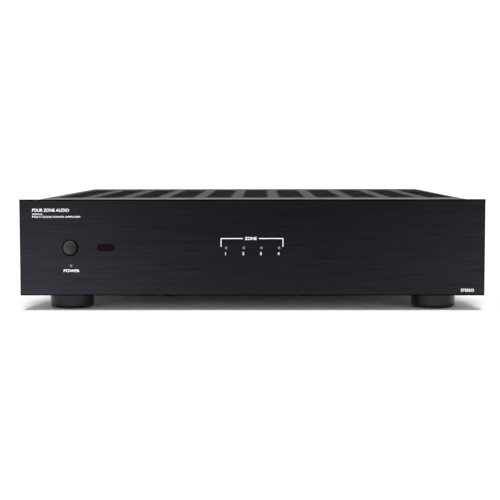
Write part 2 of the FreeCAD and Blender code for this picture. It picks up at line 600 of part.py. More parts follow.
CAP_BACK = "(FaceY + PlateThick + FlangeGap)"
SWITCH_FRONT = f"({CONTROL_FRONT} - SwitchDeep)"
cap = Body("button_blank", ("ButtonX", CAP_BACK, BUTTON_Z))
cap.pad("XZ_Plane", [circle("0", "0", "ButtonWide")], f"{CAP_BACK} - FaceY + ButtonProud")
cap.soften("Fillet", "ButtonRim", lambda edge: edge.BoundBox.YMax < value("-PlateThick"))
cap.pad("XZ_Plane", [circle("0", "0", "ButtonFlange")], "ButtonFlangeThick", reverse=True)
cap.pad("XZ_Plane", [circle("0", "0", "ButtonStem")], f"{SWITCH_FRONT} + StemSeat - {CAP_BACK}", reverse=True)
del nodes["button_blank"]
dish = doc.addObject("Part::Sphere", "Dish")
dish.setExpression("Radius", bound("ButtonDish"))
place(dish, ("ButtonX", "FaceY - ButtonProud + ButtonDishDepth - ButtonDish", BUTTON_Z))
node("power_button", cut(cap.body, dish))

coil = doc.addObject("Part::Helix", "Helix")
spring_long = f"({SWITCH_FRONT} - {CAP_BACK} - ButtonFlangeThick - SpringWire)"
coil.setExpression("Radius", bound("(SpringWide - SpringWire) / 2"))
coil.setExpression("Height", bound(spring_long))
coil.setExpression("Pitch", bound(f"{spring_long} / SpringTurns"))
place(coil, ("ButtonX", f"{CAP_BACK} + ButtonFlangeThick + SpringWire / 2", BUTTON_Z), "+Y")
doc.recompute()
start = coil.Shape.Edges[0]
wire = Part.Wire(Part.makeCircle(value("SpringWire / 2"), start.valueAt(start.FirstParameter),
                                 start.tangentAt(start.FirstParameter)))
spring = doc.addObject("Part::Feature", "Spring")
spring.Shape = Part.Wire(coil.Shape.Edges).makePipeShell([wire], True, True)
spring.Placement = FreeCAD.Placement()
node("power_spring", spring)

switch = centred(("SwitchWide", "SwitchDeep", "SwitchHigh"),
                 ("ButtonX", f"{CONTROL_FRONT} - SwitchDeep / 2", BUTTON_Z))
guide = rod("ButtonStem + 2 * RunningGap", "SwitchDeep", ("ButtonX", SWITCH_FRONT, BUTTON_Z), "+Y")
node("power_switch", cut(switch, guide))

WINDOW_Z = "(PlateBottom + WindowZ)"
window = Body("remote_window", ("WindowX", "FaceY + PlateThick", WINDOW_Z))
window.pad("XZ_Plane", [obround("0", "0", "WindowLength", "WindowWide")], "PlateThick - WindowRecess")
flange = obround("0", "0", "WindowFlangeLength", "WindowFlangeWide")
window.pad("XZ_Plane", [flange], "PanThick", reverse=True)
lens = doc.addObject("Part::Sphere", "Lens")
lens.setExpression("Radius", bound("SensorLens"))
place(lens, ("WindowX", f"{CONTROL_FRONT} - SensorDeep", WINDOW_Z))
sensor = centred(("SensorWide", "SensorDeep", "SensorHigh"),
                 ("WindowX", f"{CONTROL_FRONT} - SensorDeep / 2", WINDOW_Z))
node("remote_sensor", fuse(sensor, lens))

pipe_long = f"{CONTROL_FRONT} - LedDeep - LedGap - FaceY"
pipes = [rod("LightPipe", pipe_long, (x, "FaceY", f"PlateBottom + {z}"), "+Y") for x, z in LIGHTS]
bar_long = f"({ZONES} - 1) * ZoneLightPitch + LightBarSpare"
pipes.append(centred((bar_long, "LightBarThick", "LightBarHigh"),
                     ("ZoneLightX", f"{SUB_BACK} + LightBarThick / 2", "PlateBottom + ZoneLightZ")))
node("zone_light_pipes", fuse(*pipes))
power_spot = ("PowerLightX", "FaceY", "PlateBottom + PowerLightZ")
collar_spot = ("PowerLightX", SUB_BACK, "PlateBottom + PowerLightZ")
node("power_light_pipe", fuse(rod("LightPipe", pipe_long, power_spot, "+Y"),
                              rod("LightBarHigh", "LightBarThick", collar_spot, "+Y")))
LED_Y = f"{CONTROL_FRONT} - LedDeep / 2"
leds = [centred(("LedWide", "LedDeep", "LedWide"), (x, LED_Y, f"PlateBottom + {z}"))
        for x, z in LIGHTS + [POWER_LIGHT]]
node("indicator_leds", group(leds))

SNAPS = [(x, z) for x in ("ControlInset", "ControlLength - ControlInset")
         for z in ("ControlInset", "ControlHeight - ControlInset")]
control = Body("control_board", ("ControlLeft", f"{CONTROL_FRONT} + BoardThick", "ControlBottom"))
control_edge = rectangle("ControlLength / 2", "ControlHeight / 2", "ControlLength", "ControlHeight")
control.pad("XZ_Plane", [control_edge] + [circle(x, z, "SnapHole") for x, z in SNAPS], "BoardThick")
spacers = []
for x, z in SNAPS:
    spot = (f"ControlLeft + {x}", f"ControlBottom + {z}")
    parts = [rod(width, length, (spot[0], y, spot[1]), "+Y") for width, length, y in (
        ("SnapWide", "ControlGap", SUB_BACK),
        ("SnapStud", "BoardThick", CONTROL_FRONT),
        ("SnapHead", "SnapHeadHigh", f"{CONTROL_FRONT} + BoardThick"))]
    spacers.append(fuse(*parts))
node("control_board_spacers", group(spacers))


# ---------------------------------------------------------------- transformer

COIL_Z = f"({PAN_TOP} + CoilPadThick)"
CLAMP_Z = f"({COIL_Z} + CoilHigh + CoilPadThick)"
winding = Body("transformer_winding", ("CoilX", "CoilY", COIL_Z))
winding.pad("XY_Plane", [circle("0", "0", "CoilWide"), circle("0", "0", "CoilBore")], "CoilHigh")
winding.soften("Fillet", "CoilRound", lambda edge: edge.BoundBox.ZLength < 1)


def washer(width, hole, thick, height):
    """A disc with a hole on the transformer's axis."""
    spot = ("CoilX", "CoilY", height)
    return cut(rod(width, thick, spot), rod(hole, thick, spot))


node("transformer_pads", group([washer("CoilPadWide", "BoltHole", "CoilPadThick", PAN_TOP),
                                washer("CoilPadWide", "BoltHole", "CoilPadThick", f"{COIL_Z} + CoilHigh")]))
node("transformer_plate", washer("CoilPlateWide", "BoltHole", "CoilPlateThick", CLAMP_Z))
bolt_foot = ("CoilX", "CoilY", "CaseBottom")
nut_spot = ("CoilX", "CoilY", f"{CLAMP_Z} + CoilPlateThick")
bolt = fuse(hexagon("BoltHex", "BoltHeadHigh", bolt_foot, "-Z"),
            rod("BoltWide", f"{CLAMP_Z} + CoilPlateThick + NutHigh + BoltSpare - CaseBottom", bolt_foot))
nut = cut(hexagon("BoltHex", "NutHigh", nut_spot), rod("BoltWide", "NutHigh", nut_spot))
node("transformer_bolt", group([bolt, nut]))


# ---------------------------------------------------------------- boards in the case

def board_corners(x, y, length, depth):
    """The fixing points of a board."""
    return [(f"{x} + {across}", f"{y} + {along}") for across in ("BoardInset", f"{length} - BoardInset")
            for along in ("BoardInset", f"{depth} - BoardInset")]


AMPLIFIER_DEPTH = "(RearY - AmplifierRear - AmplifierY)"
SUPPLY = ("SupplyX", "SupplyY", "SupplyLength", "SupplyDepth")
AMPLIFIER = ("AmplifierX", "AmplifierY", "AmplifierLength", AMPLIFIER_DEPTH)
for label, (x, y, length, depth) in (("supply_board", SUPPLY), ("amplifier_board", AMPLIFIER)):
    board = Body(label, (x, y, BOARD_Z))
    holes = [circle(across, along, "BoardHole") for across, along in board_corners("0", "0", length, depth)]
    board.pad("XY_Plane", [rectangle(f"{length} / 2", f"{depth} / 2", length, depth)] + holes, "BoardThick")
fixings = board_corners(*SUPPLY) + board_corners(*AMPLIFIER)
standoffs = []
for x, y in fixings:
    post = rod("SpacerWide", "SpacerHigh", (x, y, PAN_TOP))
    standoffs.append(cut(post, rod("SpacerBore", "SpacerHigh", (x, y, PAN_TOP))))
node("board_spacers", group(standoffs))
node("board_screws", group([screw((x, y, BOARD_TOP), "-Z", "ScrewReach") for x, y in fixings]))


def can(width, height, rim, x, y):
    """An upright capacitor can with a bevelled top."""
    shoulder = f"{BOARD_TOP} + {height} - {rim}"
    return fuse(rod(width, f"{height} - {rim}", (x, y, BOARD_TOP)),
                taper(width, f"{width} - 2 * {rim}", rim, (x, y, shoulder)))


node("reservoir_capacitors", group([can("ReservoirWide", "ReservoirHigh", "ReservoirRound",
                                        f"ReservoirX + {index} * ReservoirPitch", "ReservoirY")
                                    for index in range(ZONES)]))
rectifier = [centred(("RectifierWide", "RectifierThick", "RectifierHigh"),
                     ("RectifierX", "RectifierY", f"{BOARD_TOP} + RectifierLift + RectifierHigh / 2"))]
rectifier += [centred(("LegWide", "LegWide", "RectifierLift"),
                      (f"RectifierX + {spread(index, ZONES, 'RectifierPitch')}", "RectifierY",
                       f"{BOARD_TOP} + RectifierLift / 2")) for index in range(ZONES)]
node("rectifier", fuse(*rectifier))

sink = Body("heatsink", ("SinkX", "SinkY", BOARD_TOP))
fin_long = "(SinkDepth - SinkBase)"
sink_base = rectangle("SinkLength / 2", f"{fin_long} + SinkBase / 2", "SinkLength", "SinkBase")
sink.pad("XY_Plane", [sink_base], "SinkHigh")
fin = sink.pad("XY_Plane", [rectangle("SinkFin / 2", f"{fin_long} / 2", "SinkFin", fin_long)], "SinkHigh")
sink.repeat(fin, [("X_Axis", "((SinkLength - SinkFin) / (SinkFins - 1))", "SinkFins")])

chips = []
for index in range(ZONES):
    x = f"{zone_x(index)} + ChipShift"
    back = "SinkY + SinkDepth"
    legs = [centred(("LegWide", "LegWide", "ChipLift"),
                    (f"{x} + {spread(leg, SIZES['ChipLegs'], 'ChipPitch')}", f"{back} + ChipThick / 2",
                     f"{BOARD_TOP} + ChipLift / 2")) for leg in range(SIZES["ChipLegs"])]
    chip = centred(("ChipWide", "ChipThick", "ChipHigh"),
                   (x, f"{back} + ChipThick / 2", f"{BOARD_TOP} + ChipLift + ChipHigh / 2"))
    chips.append(fuse(chip, *legs))
node("output_chips", group(chips))
node("filter_capacitors", group([can("FilterWide", "FilterHigh", "FilterRound",
                                     f"{zone_x(index)} + {side} * FilterSpread / 2", "FilterY")
                                 for index in range(ZONES) for side in (-1, 1)]))


# ---------------------------------------------------------------- rear inputs and level controls

input_board = Body("input_board", ("InputLeft", f"{INPUT_FRONT} + BoardThick", "InputBottom"))
input_edge = rectangle("InputLength / 2", "InputHeight / 2", "InputLength", "InputHeight")
input_board.pad("XZ_Plane", [input_edge], "BoardThick")

JACK_BACK = f"({PANEL_IN} - JackSeat)"
seat_long = "(JackSeat + PanThick)"
sleeve_long = f"({seat_long} + SleeveProud)"
housings = []
for x in JACK_X:
    block = centred(("JackBodyWide", "JackBodyDeep", "JackBodyHigh"),
                    (x, f"{PANEL_IN} - JackBodyDeep / 2", "(JackHigh + JackLow) / 2"))
    seats = [rod("SleeveSeat", "JackSeat", (x, JACK_BACK, z), "+Y") for z in ("JackHigh", "JackLow")]
    housings.append(cut(block, *seats))
node("input_jack_housings", group(housings))
sleeves = []
for x, z in JACKS:
    tube = fuse(rod("SleeveSeat", seat_long, (x, JACK_BACK, z), "+Y"),
                rod("SleeveWide", "SleeveProud", (x, PANEL_OUT, z), "+Y"))
    sleeves.append(cut(tube, rod("SleeveBore", sleeve_long, (x, JACK_BACK, z), "+Y")))
node("input_jack_sleeves", group(sleeves))
core_long = f"({sleeve_long} - CoreRecess)"
for label, height in (("jack_cores_left", "JackHigh"), ("jack_cores_right", "JackLow")):
    cores = []
    for x, z in JACKS:
        if z == height:
            bore = rod("CoreBore", "CoreBoreDeep", (x, f"{JACK_BACK} + {core_long}", z), "-Y")
            cores.append(cut(rod("SleeveBore", core_long, (x, JACK_BACK, z), "+Y"), bore))
    node(label, group(cores))

pots = []
for x, z in KNOBS:
    block = centred(("PotWide", "JackBodyDeep", "PotHigh"), (x, f"{PANEL_IN} - JackBodyDeep / 2", z))
    bush = rod("BushWide", "PanThick", (x, PANEL_IN, z), "+Y")
    bore = rod("ShaftWide + 2 * RunningGap", "PanThick + ShaftDeep + LeadIn", (x, PANEL_OUT, z), "-Y")
    pots.append(cut(fuse(block, bush), bore))
node("level_pots", group(pots))

knob_long = "(KnobProud + SheetThick - KnobGap - KnobMarkDeep)"
for number, (x, z) in enumerate(KNOBS, start=1):
    knob = Body(f"level_knob_{number}", (x, f"{PANEL_OUT} + KnobGap", z))
    knob.pad("XZ_Plane", [circle("0", "0", "KnobWide")], knob_long, reverse=True)
    knob.soften("Fillet", "KnobRim", lambda edge: edge.BoundBox.YMin > value(f"{knob_long} / 2"))
    notch = circle("KnobWide / 2", "0", "2 * KnobFlute")
    flute = knob.pocket("XZ_Plane", [notch], f"{knob_long} - KnobFluteShort")
    knob.ring(flute, "Y_Axis", "KnobFlutes")
    mark_high = "(KnobWide / 2 - KnobRim - KnobFlute)"
    mark = rectangle("0", f"{mark_high} / 2", "KnobMark", mark_high)
    knob.pad("XZ_Plane", [mark], f"{knob_long} + KnobMarkDeep", reverse=True)
    knob.pad("XZ_Plane", [circle("0", "0", "ShaftWide")], "KnobGap + PanThick + ShaftDeep")


# ---------------------------------------------------------------- speaker outputs

HEADER_FACE = f"({PANEL_OUT} + HeaderProud)"
headers = []
pins = []
for index in range(ZONES):
    shell = centred(("HeaderWide", "HeaderDeep", "HeaderHigh"),
                    (zone_x(index), f"{HEADER_FACE} - HeaderDeep / 2", HEADER_Z))
    mouth = centred(("HeaderMouthWide", "HeaderMouthDeep", "HeaderMouthHigh"),
                    (zone_x(index), f"{HEADER_FACE} - HeaderMouthDeep / 2", HEADER_Z))
    tools = [mouth]
    pin_back = f"({HEADER_FACE} - HeaderDeep - PinWide)"
    pin_long = f"({HEADER_FACE} - HeaderMouthDeep + PinLong - {pin_back})"
    for pole in range(ZONES):
        x = f"{zone_x(index)} + {spread(pole, ZONES, 'PinPitch')}"
        bar = ("PinWide", pin_long, "PinWide")
        spot = (x, f"{pin_back} + {pin_long} / 2", HEADER_Z)
        tools.append(centred(bar, spot))
        tail_high = f"({HEADER_Z} - {BOARD_TOP})"
        tail = centred(("PinWide", "PinWide", tail_high),
                       (x, f"{pin_back} + PinWide / 2", f"{BOARD_TOP} + {tail_high} / 2"))
        pins.append(fuse(centred(bar, spot), tail))
    headers.append(cut(shell, *tools))
node("speaker_headers", group(headers))
node("speaker_pins", group(pins))


# ---------------------------------------------------------------- mains entry

inlet = Body("mains_inlet", ("InletX", PANEL_OUT, "InletZ"))
screw_holes = [circle(f"{side} * InletScrewX", "0", "ScrewHole") for side in (-1, 1)]
inlet_flange = rectangle("0", "0", "InletFlangeWide", "InletFlangeHigh")
inlet.pad("XZ_Plane", [inlet_flange] + screw_holes, "InletFlangeThick", reverse=True)
inlet.pad("XZ_Plane", [rectangle("0", "0", "InletWide", "InletHigh")], "InletDeep")
half, rise = "(InletMouthWide / 2)", "(InletMouthHigh / 2)"
mouth = [(f"-{half}", f"-{rise}"), (half, f"-{rise}"), (half, f"{rise} - InletMouthCut"),
         (f"{half} - InletMouthCut", rise), (f"InletMouthCut - {half}", rise),
         (f"-{half}", f"{rise} - InletMouthCut")]
inlet.pocket("XZ_Plane", [polygon(mouth)], "InletFlangeThick")
inlet.pocket("XZ_Plane", [polygon(mouth)], "InletMouthDeep - InletFlangeThick", reverse=True)
BLADES = [("-BladePitch", "-BladeDrop"), ("0", "BladeDrop"), ("BladePitch", "-BladeDrop")]
blade_slots = [rectangle(x, z, "BladeWide", "BladeHigh") for x, z in BLADES]
inlet.pocket("XZ_Plane", blade_slots, "InletDeep", reverse=True)
BLADE_BACK = f"({PANEL_OUT} - InletDeep - BladeTail)"
BLADE_END = f"({PANEL_OUT} + InletFlangeThick - InletMouthDeep + BladeLong)"
blade_long = f"({BLADE_END} - {BLADE_BACK})"
node("inlet_blades", group([centred(("BladeWide", blade_long, "BladeHigh"),
                                    (f"InletX + {x}", f"{BLADE_BACK} + {blade_long} / 2", f"InletZ + {z}"))
                            for x, z in BLADES]))

PIVOT_Y = f"({PANEL_OUT} - PivotDeep)"
breaker = Body("mains_switch", ("RockerX", PANEL_OUT, "RockerZ"))
breaker.pad("XZ_Plane", [rectangle("0", "0", "BezelWide", "BezelHigh")], "BezelThick", reverse=True)
breaker.pad("XZ_Plane", [rectangle("0", "0", "SwitchBodyWide", "SwitchBodyHigh")], "SwitchBodyDeep")
slot = rectangle("0", "0", "RockerSlotWide", "RockerSlotHigh")
breaker.pocket("XZ_Plane", [slot], "BezelThick")
breaker.pocket("XZ_Plane", [slot], "RockerSlotDeep", reverse=True)
breaker.bore("YZ_Plane", [circle("-PivotDeep", "0", "PivotWide + 2 * RunningGap")])

rocker = Body("mains_rocker", ("RockerX", PIVOT_Y, "RockerZ"))
profile = [("-RockerBack", "-RockerHalf"), ("RockerCrest", "-RockerHalf"), ("RockerDip", "0"),
           ("RockerCrest", "RockerHalf"), ("-RockerBack", "RockerHalf")]
rocker.pad("YZ_Plane", [polygon(profile)], "RockerWide").Midplane = True
rocker.pad("YZ_Plane", [circle("0", "0", "PivotWide")], "PivotLong").Midplane = True
rocker.body.Placement = FreeCAD.Placement(rocker.body.Placement.Base,
                                          FreeCAD.Rotation(FreeCAD.Vector(1, 0, 0), value("RockerTilt")))


# ---------------------------------------------------------------- wiring

CONTROL_BACK = f"({CONTROL_FRONT} + BoardThick)"
ribbon_front = f"({CONTROL_BACK} + PlugDeep + RibbonRun)"
ribbon_rear = f"({INPUT_FRONT} - PlugDeep - RibbonRun)"
route = [("RibbonX", CONTROL_BACK, "RibbonStart"), ("RibbonX", ribbon_front, "RibbonStart"),
         ("RibbonX", ribbon_front, "RibbonTop"), ("RibbonX", ribbon_rear, "RibbonTop"),
         ("RibbonX", ribbon_rear, "RibbonEnd"), ("RibbonX", INPUT_FRONT, "RibbonEnd")]
middle = FreeCAD.Vector(*(value(text) for text in route[0]))
across = FreeCAD.Vector(value("RibbonWide / 2"), 0, 0)
up = FreeCAD.Vector(0, 0, value("RibbonThick / 2"))
flat = Part.makePolygon([middle - across - up, middle + across - up, middle + across + up,
                         middle - across + up, middle - across - up])
plug = ("RibbonWide + 2 * PlugSpare", "PlugDeep", "PlugHigh")
front_plug = centred(plug, ("RibbonX", f"{CONTROL_BACK} + PlugDeep / 2", "RibbonStart"))
rear_plug = centred(plug, ("RibbonX", f"{INPUT_FRONT} - PlugDeep / 2", "RibbonEnd"))
node("ribbon_cable", fuse(swept(flat, round_path(route, "RibbonBend")), front_plug, rear_plug))


def coil_edge(offset, gap):
    """How far the winding's side is from its axis at a sideways offset."""
    return f"(sqrt((CoilWide / 2) ^ 2 - ({offset}) ^ 2) + {gap})"


TERMINAL_Y = f"({PANEL_OUT} - SwitchBodyDeep)"
inlet_z = "InletZ - BladeDrop"
live_x, neutral_x = "InletX + BladePitch", "InletX - BladePitch"
bend_y = f"({BLADE_BACK} - LeadBack)"
neutral_end = f"CoilY + {coil_edge('LeadAcross - CoilX', 'LeadGap')}"
switched_end = f"CoilY + {coil_edge('RockerX - CoilX', 'LeadGap')}"
leads = [lead([(live_x, BLADE_BACK, inlet_z), (live_x, bend_y, inlet_z), ("RockerX", bend_y, inlet_z),
               ("RockerX", TERMINAL_Y, inlet_z)]),
         lead([(neutral_x, BLADE_BACK, inlet_z), (neutral_x, bend_y, inlet_z), (neutral_x, bend_y, "LeadLow"),
               (neutral_x, "LeadCross", "LeadLow"), ("LeadAcross", "LeadCross", "LeadLow"),
               ("LeadAcross", neutral_end, "LeadLow")]),
         lead([("RockerX", TERMINAL_Y, "LeadTop"), ("RockerX", "LeadDown", "LeadTop"),
               ("RockerX", "LeadDown", "LeadHigh"), ("RockerX", switched_end, "LeadHigh")])]
for side in (-1, 1):
    y = f"CoilY + {side} * LeadSide"
    leads.append(lead([(f"CoilX + {coil_edge('LeadSide', 'LeadGap')}", y, "SecondaryHigh"),
                       ("SecondaryX", y, "SecondaryHigh"), ("SecondaryX", y, BOARD_TOP)]))
for index in range(2):
    x = f"FeedX + {index} * FeedPitch"
    leads.append(lead([(x, "FeedStart", BOARD_TOP), (x, "FeedStart", "FeedHigh"), (x, "FeedEnd", "FeedHigh"),
                       (x, "FeedEnd", BOARD_TOP)]))
node("power_wiring", group(leads))


# ---------------------------------------------------------------- check and write

doc.recompute()
faults = []
for item in doc.Objects:
    if "Invalid" in item.State or "Error" in item.State:
        faults.append(f"{item.Name} {item.State}")
for label, item in nodes.items():
    if item.Shape.isNull() or not item.Shape.isValid() or not item.Shape.Solids:
        faults.append(f"{label} has no valid solid")
if faults:
    raise RuntimeError("; ".join(faults))
os.makedirs("parts", exist_ok=True)
for label, item in nodes.items():
    item.Shape.exportStep(f"parts/{label}.step")
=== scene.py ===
"""Looks of the four-zone power amplifier: camera, studio, materials and lettering.

Metres, +Z up, the front faces -Y, and the floor is Z = 0.
"""

import math

import bmesh
import bpy
from mathutils import Matrix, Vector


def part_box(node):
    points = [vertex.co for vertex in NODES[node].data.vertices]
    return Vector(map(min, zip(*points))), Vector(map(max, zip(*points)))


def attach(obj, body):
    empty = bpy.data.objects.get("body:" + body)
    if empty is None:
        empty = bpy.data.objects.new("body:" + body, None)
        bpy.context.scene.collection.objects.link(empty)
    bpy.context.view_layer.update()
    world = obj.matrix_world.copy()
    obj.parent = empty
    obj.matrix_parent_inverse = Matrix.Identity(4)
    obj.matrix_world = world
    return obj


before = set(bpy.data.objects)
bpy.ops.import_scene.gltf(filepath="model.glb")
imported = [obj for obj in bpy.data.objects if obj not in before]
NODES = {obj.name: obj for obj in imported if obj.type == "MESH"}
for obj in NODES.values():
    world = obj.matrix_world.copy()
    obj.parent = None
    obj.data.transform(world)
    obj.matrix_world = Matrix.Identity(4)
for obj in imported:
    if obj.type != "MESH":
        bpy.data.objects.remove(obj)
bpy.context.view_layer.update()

MM = 0.001
PLATE_LOW, PLATE_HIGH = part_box("front_panel")
FACE_Y = PLATE_LOW.y
REAR_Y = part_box("rear_panel")[1].y
WHITE = (1.0, 1.0, 1.0)

scene = bpy.context.scene
scene.view_settings.view_transform = "Standard"


# ---------------------------------------------------------------- camera

CAMERA_BACK = 1151.5 * MM
CAMERA_SIDE = 9.3 * MM
CAMERA_HIGH = 142.2 * MM
CAMERA_DOWN = math.radians(4.19)
CAMERA_YAW = math.radians(0.55)
CAMERA_ROLL = math.radians(0.07)
LENS = 89.98
SENSOR = 36.0


def make_camera():
    """The camera at the height of the lid, a little right of the middle, looking slightly down."""
    data = bpy.data.cameras.new("camera")
    data.sensor_width = SENSOR
    data.lens = LENS
    camera = bpy.data.objects.new("camera", data)
    camera.location = (CAMERA_SIDE, FACE_Y - CAMERA_BACK, CAMERA_HIGH)
    camera.rotation_euler = (math.radians(90) - CAMERA_DOWN, CAMERA_ROLL, CAMERA_YAW)
    scene.collection.objects.link(camera)
    scene.camera = camera


make_camera()


# ---------------------------------------------------------------- node recipes

NOISE_LOW, NOISE_HIGH = 0.3, 0.7
EDGE_FLAT, EDGE_SHARP = 0.995, 0.90


class Recipe:
    """A node tree under construction. Textures lie in the object's own metres."""

    def __init__(self, owner):
        owner.use_nodes = True
        self.tree = owner.node_tree
        self.tree.nodes.clear()
        self.coordinates = self.add("ShaderNodeTexCoord")
        self.place = self.coordinates.outputs["Object"]

    def add(self, kind, inputs=None, **settings):
        """A node with its settings, and its inputs fed with numbers, colours or other nodes' outputs."""
        node = self.tree.nodes.new(kind)
        for key, setting in settings.items():
            setattr(node, key, setting)
        for key, source in (inputs or {}).items():
            socket = node.inputs[key]
            if isinstance(source, bpy.types.NodeSocket):
                self.tree.links.new(source, socket)
            elif socket.type == "RGBA":
                socket.default_value = (*source, 1.0)
            else:
                socket.default_value = source
        return node

    def math(self, operation, first, second=0.0):
        """One sum on one or two values."""
        return self.add("ShaderNodeMath", {0: first, 1: second}, operation=operation).outputs[0]

    def plus(self, first, second):
        """The first value plus the second."""
        return self.math("ADD", first, second)

    def minus(self, first, second):
        """The first value less the second."""
        return self.math("SUBTRACT", first, second)

    def times(self, first, second):
        """The first value times the second."""
        return self.math("MULTIPLY", first, second)

    def over(self, first, second):
        """The first value divided by the second."""
        return self.math("DIVIDE", first, second)

    def above(self, first, second):
        """1 where the first value is above the second."""
        return self.math("GREATER_THAN", first, second)

    def below(self, first, second):
        """1 where the first value is below the second."""
        return self.math("LESS_THAN", first, second)

    def parts(self, vector):
        """The outputs X, Y and Z of a vector."""
        return self.add("ShaderNodeSeparateXYZ", {"Vector": vector}).outputs

    def spot(self):
        """The place's outputs X, Y and Z."""
        return self.parts(self.place)

    def facing(self):
        """The outputs X, Y and Z of the way the surface faces."""
        return self.parts(self.add("ShaderNodeNewGeometry").outputs["Normal"])

    def span(self, value, low, high, start=0.0, end=1.0):
        """The value moved from one range to another, and held inside it."""
        inputs = {"Value": value, "From Min": low, "From Max": high, "To Min": start, "To Max": end}
        return self.add("ShaderNodeMapRange", inputs).outputs["Result"]

    def spread(self, noise, start=0.0, end=1.0):
        """Soft noise spread over a whole range."""
        return self.span(noise, NOISE_LOW, NOISE_HIGH, start, end)

    def grain(self, size, detail=2.0, stretch=None):
        """Soft noise whose blots are about the size given in millimetres."""
        vector = self.place
        if stretch:
            vector = self.add("ShaderNodeMapping", {"Vector": vector, "Scale": stretch}).outputs["Vector"]
        inputs = {"Vector": vector, "Scale": 1 / (size * MM), "Detail": detail}
        return self.add("ShaderNodeTexNoise", inputs).outputs["Fac"]

    def cells(self, size):
        """A Voronoi pattern with cells of about the size given in millimetres."""
        return self.add("ShaderNodeTexVoronoi", {"Vector": self.place, "Scale": 1 / (size * MM)})

    def mix(self, share, first, second):
        """Two colours mixed by a share."""
        inputs = {0: share, 6: first, 7: second}
        return self.add("ShaderNodeMix", inputs, data_type="RGBA").outputs[2]

    def mix_value(self, share, first, second):
        """Two numbers mixed by a share."""
        return self.add("ShaderNodeMix", {0: share, 2: first, 3: second}, data_type="FLOAT").outputs[0]

    def scaled(self, share, colour):
        """A colour made lighter or darker by a share that varies over the surface."""
        node = self.add("ShaderNodeVectorMath", {0: colour, 3: share}, operation="SCALE")
        return node.outputs["Vector"]

    def rounded(self, width, samples=4):
        """The normal with sharp edges rounded by a width in millimetres."""
        return self.add("ShaderNodeBevel", {"Radius": width * MM}, samples=samples).outputs["Normal"]

    def edges(self, width):
        """1 along sharp edges and 0 on flat ground."""
        normal = self.add("ShaderNodeNewGeometry").outputs["Normal"]
        likeness = self.add("ShaderNodeVectorMath", {0: self.rounded(width), 1: normal},
                            operation="DOT_PRODUCT").outputs["Value"]
        return self.span(likeness, EDGE_FLAT, EDGE_SHARP)

    def relief(self, height, depth, under=None):
        """Surface relief of a depth in millimetres."""
        inputs = {"Height": height, "Distance": depth * MM}
        if under:
            inputs["Normal"] = under
        return self.add("ShaderNodeBump", inputs).outputs["Normal"]

    def surface(self, **inputs):
        """The finished surface."""
        named = {key.replace("_", " "): source for key, source in inputs.items()}
        shader = self.add("ShaderNodeBsdfPrincipled", named)
        self.add("ShaderNodeOutputMaterial", {"Surface": shader.outputs["BSDF"]})


def start(name):
    """A new material and its recipe."""
    material = bpy.data.materials.new(name)
    return material, Recipe(material)


# ---------------------------------------------------------------- studio

FLOOR_REACH = 12.0
FLOOR_PALE = (0.88, 0.88, 0.88)
FLOOR_PALER = (0.90, 0.90, 0.90)
FLOOR_BLOT = 40
KEY_STRENGTH = 3.1
KEY_SPREAD = math.radians(14)
KEY_LEAN = math.radians(44)
SKY_FRONT, SKY_BACK, SKY_ASIDE = 1.9, 0.3, 0.2
FRONT_FROM, FRONT_TO = -0.1, -0.85
ASIDE_FROM, ASIDE_TO = 0.25, 0.7
BACKGROUND = 1.05
BACKDROP, BACKDROP_TOP = 0.85, 0.3
BACKDROP_FROM, BACKDROP_TO = 0.3, 0.8


def make_world():
    """A bright room in front, a dim one at the sides and behind with a bright backdrop low down, and plain
    white where the camera sees it. Directions are parts of a unit vector."""
    world = bpy.data.worlds.new("studio")
    scene.world = world
    recipe = Recipe(world)
    direction = recipe.parts(recipe.coordinates.outputs["Generated"])
    aside = recipe.span(recipe.math("ABSOLUTE", direction["X"]), ASIDE_FROM, ASIDE_TO, 1.0, SKY_ASIDE)
    front = recipe.times(recipe.span(direction["Y"], FRONT_FROM, FRONT_TO), aside)
    glow = recipe.span(front, 0.0, 1.0, SKY_BACK, SKY_FRONT)
    low = recipe.span(direction["Z"], BACKDROP_TOP, BACKDROP_TOP / 2)
    behind = recipe.span(direction["Y"], BACKDROP_FROM, BACKDROP_TO)
    strength = recipe.plus(glow, recipe.times(recipe.times(low, behind), BACKDROP))
    room = recipe.add("ShaderNodeBackground", {"Color": WHITE, "Strength": strength})
    seen = recipe.add("ShaderNodeBackground", {"Color": WHITE, "Strength": BACKGROUND})
    path = recipe.add("ShaderNodeLightPath")
    mixed = recipe.add("ShaderNodeMixShader", {0: path.outputs["Is Camera Ray"], 1: room.outputs[0],
                                               2: seen.outputs[0]})
    recipe.add("ShaderNodeOutputWorld", {"Surface": mixed.outputs[0]})


def make_key():
    """One soft light from above, leaning to the front."""
    data = bpy.data.lights.new("key", "SUN")
    data.energy = KEY_STRENGTH
    data.angle = KEY_SPREAD
    key = bpy.data.objects.new("key", data)
    key.rotation_euler = (KEY_LEAN, 0, 0)
    scene.collection.objects.link(key)


def make_floor():
    """The pale floor."""
    mesh = bpy.data.meshes.new("floor")
    corners = [(x * FLOOR_REACH, y * FLOOR_REACH, 0) for x, y in ((-1, -1), (1, -1), (1, 1), (-1, 1))]
    mesh.from_pydata(corners, [], [(0, 1, 2, 3)])
    floor = bpy.data.objects.new("floor", mesh)
    scene.collection.objects.link(floor)
    material, recipe = start("floor")
    tone = recipe.mix(recipe.spread(recipe.grain(FLOOR_BLOT)), FLOOR_PALE, FLOOR_PALER)
    recipe.surface(Base_Color=tone, Roughness=0.9, Specular_IOR_Level=0.0)
    mesh.materials.append(material)


make_world()
make_key()
make_floor()


# ---------------------------------------------------------------- materials

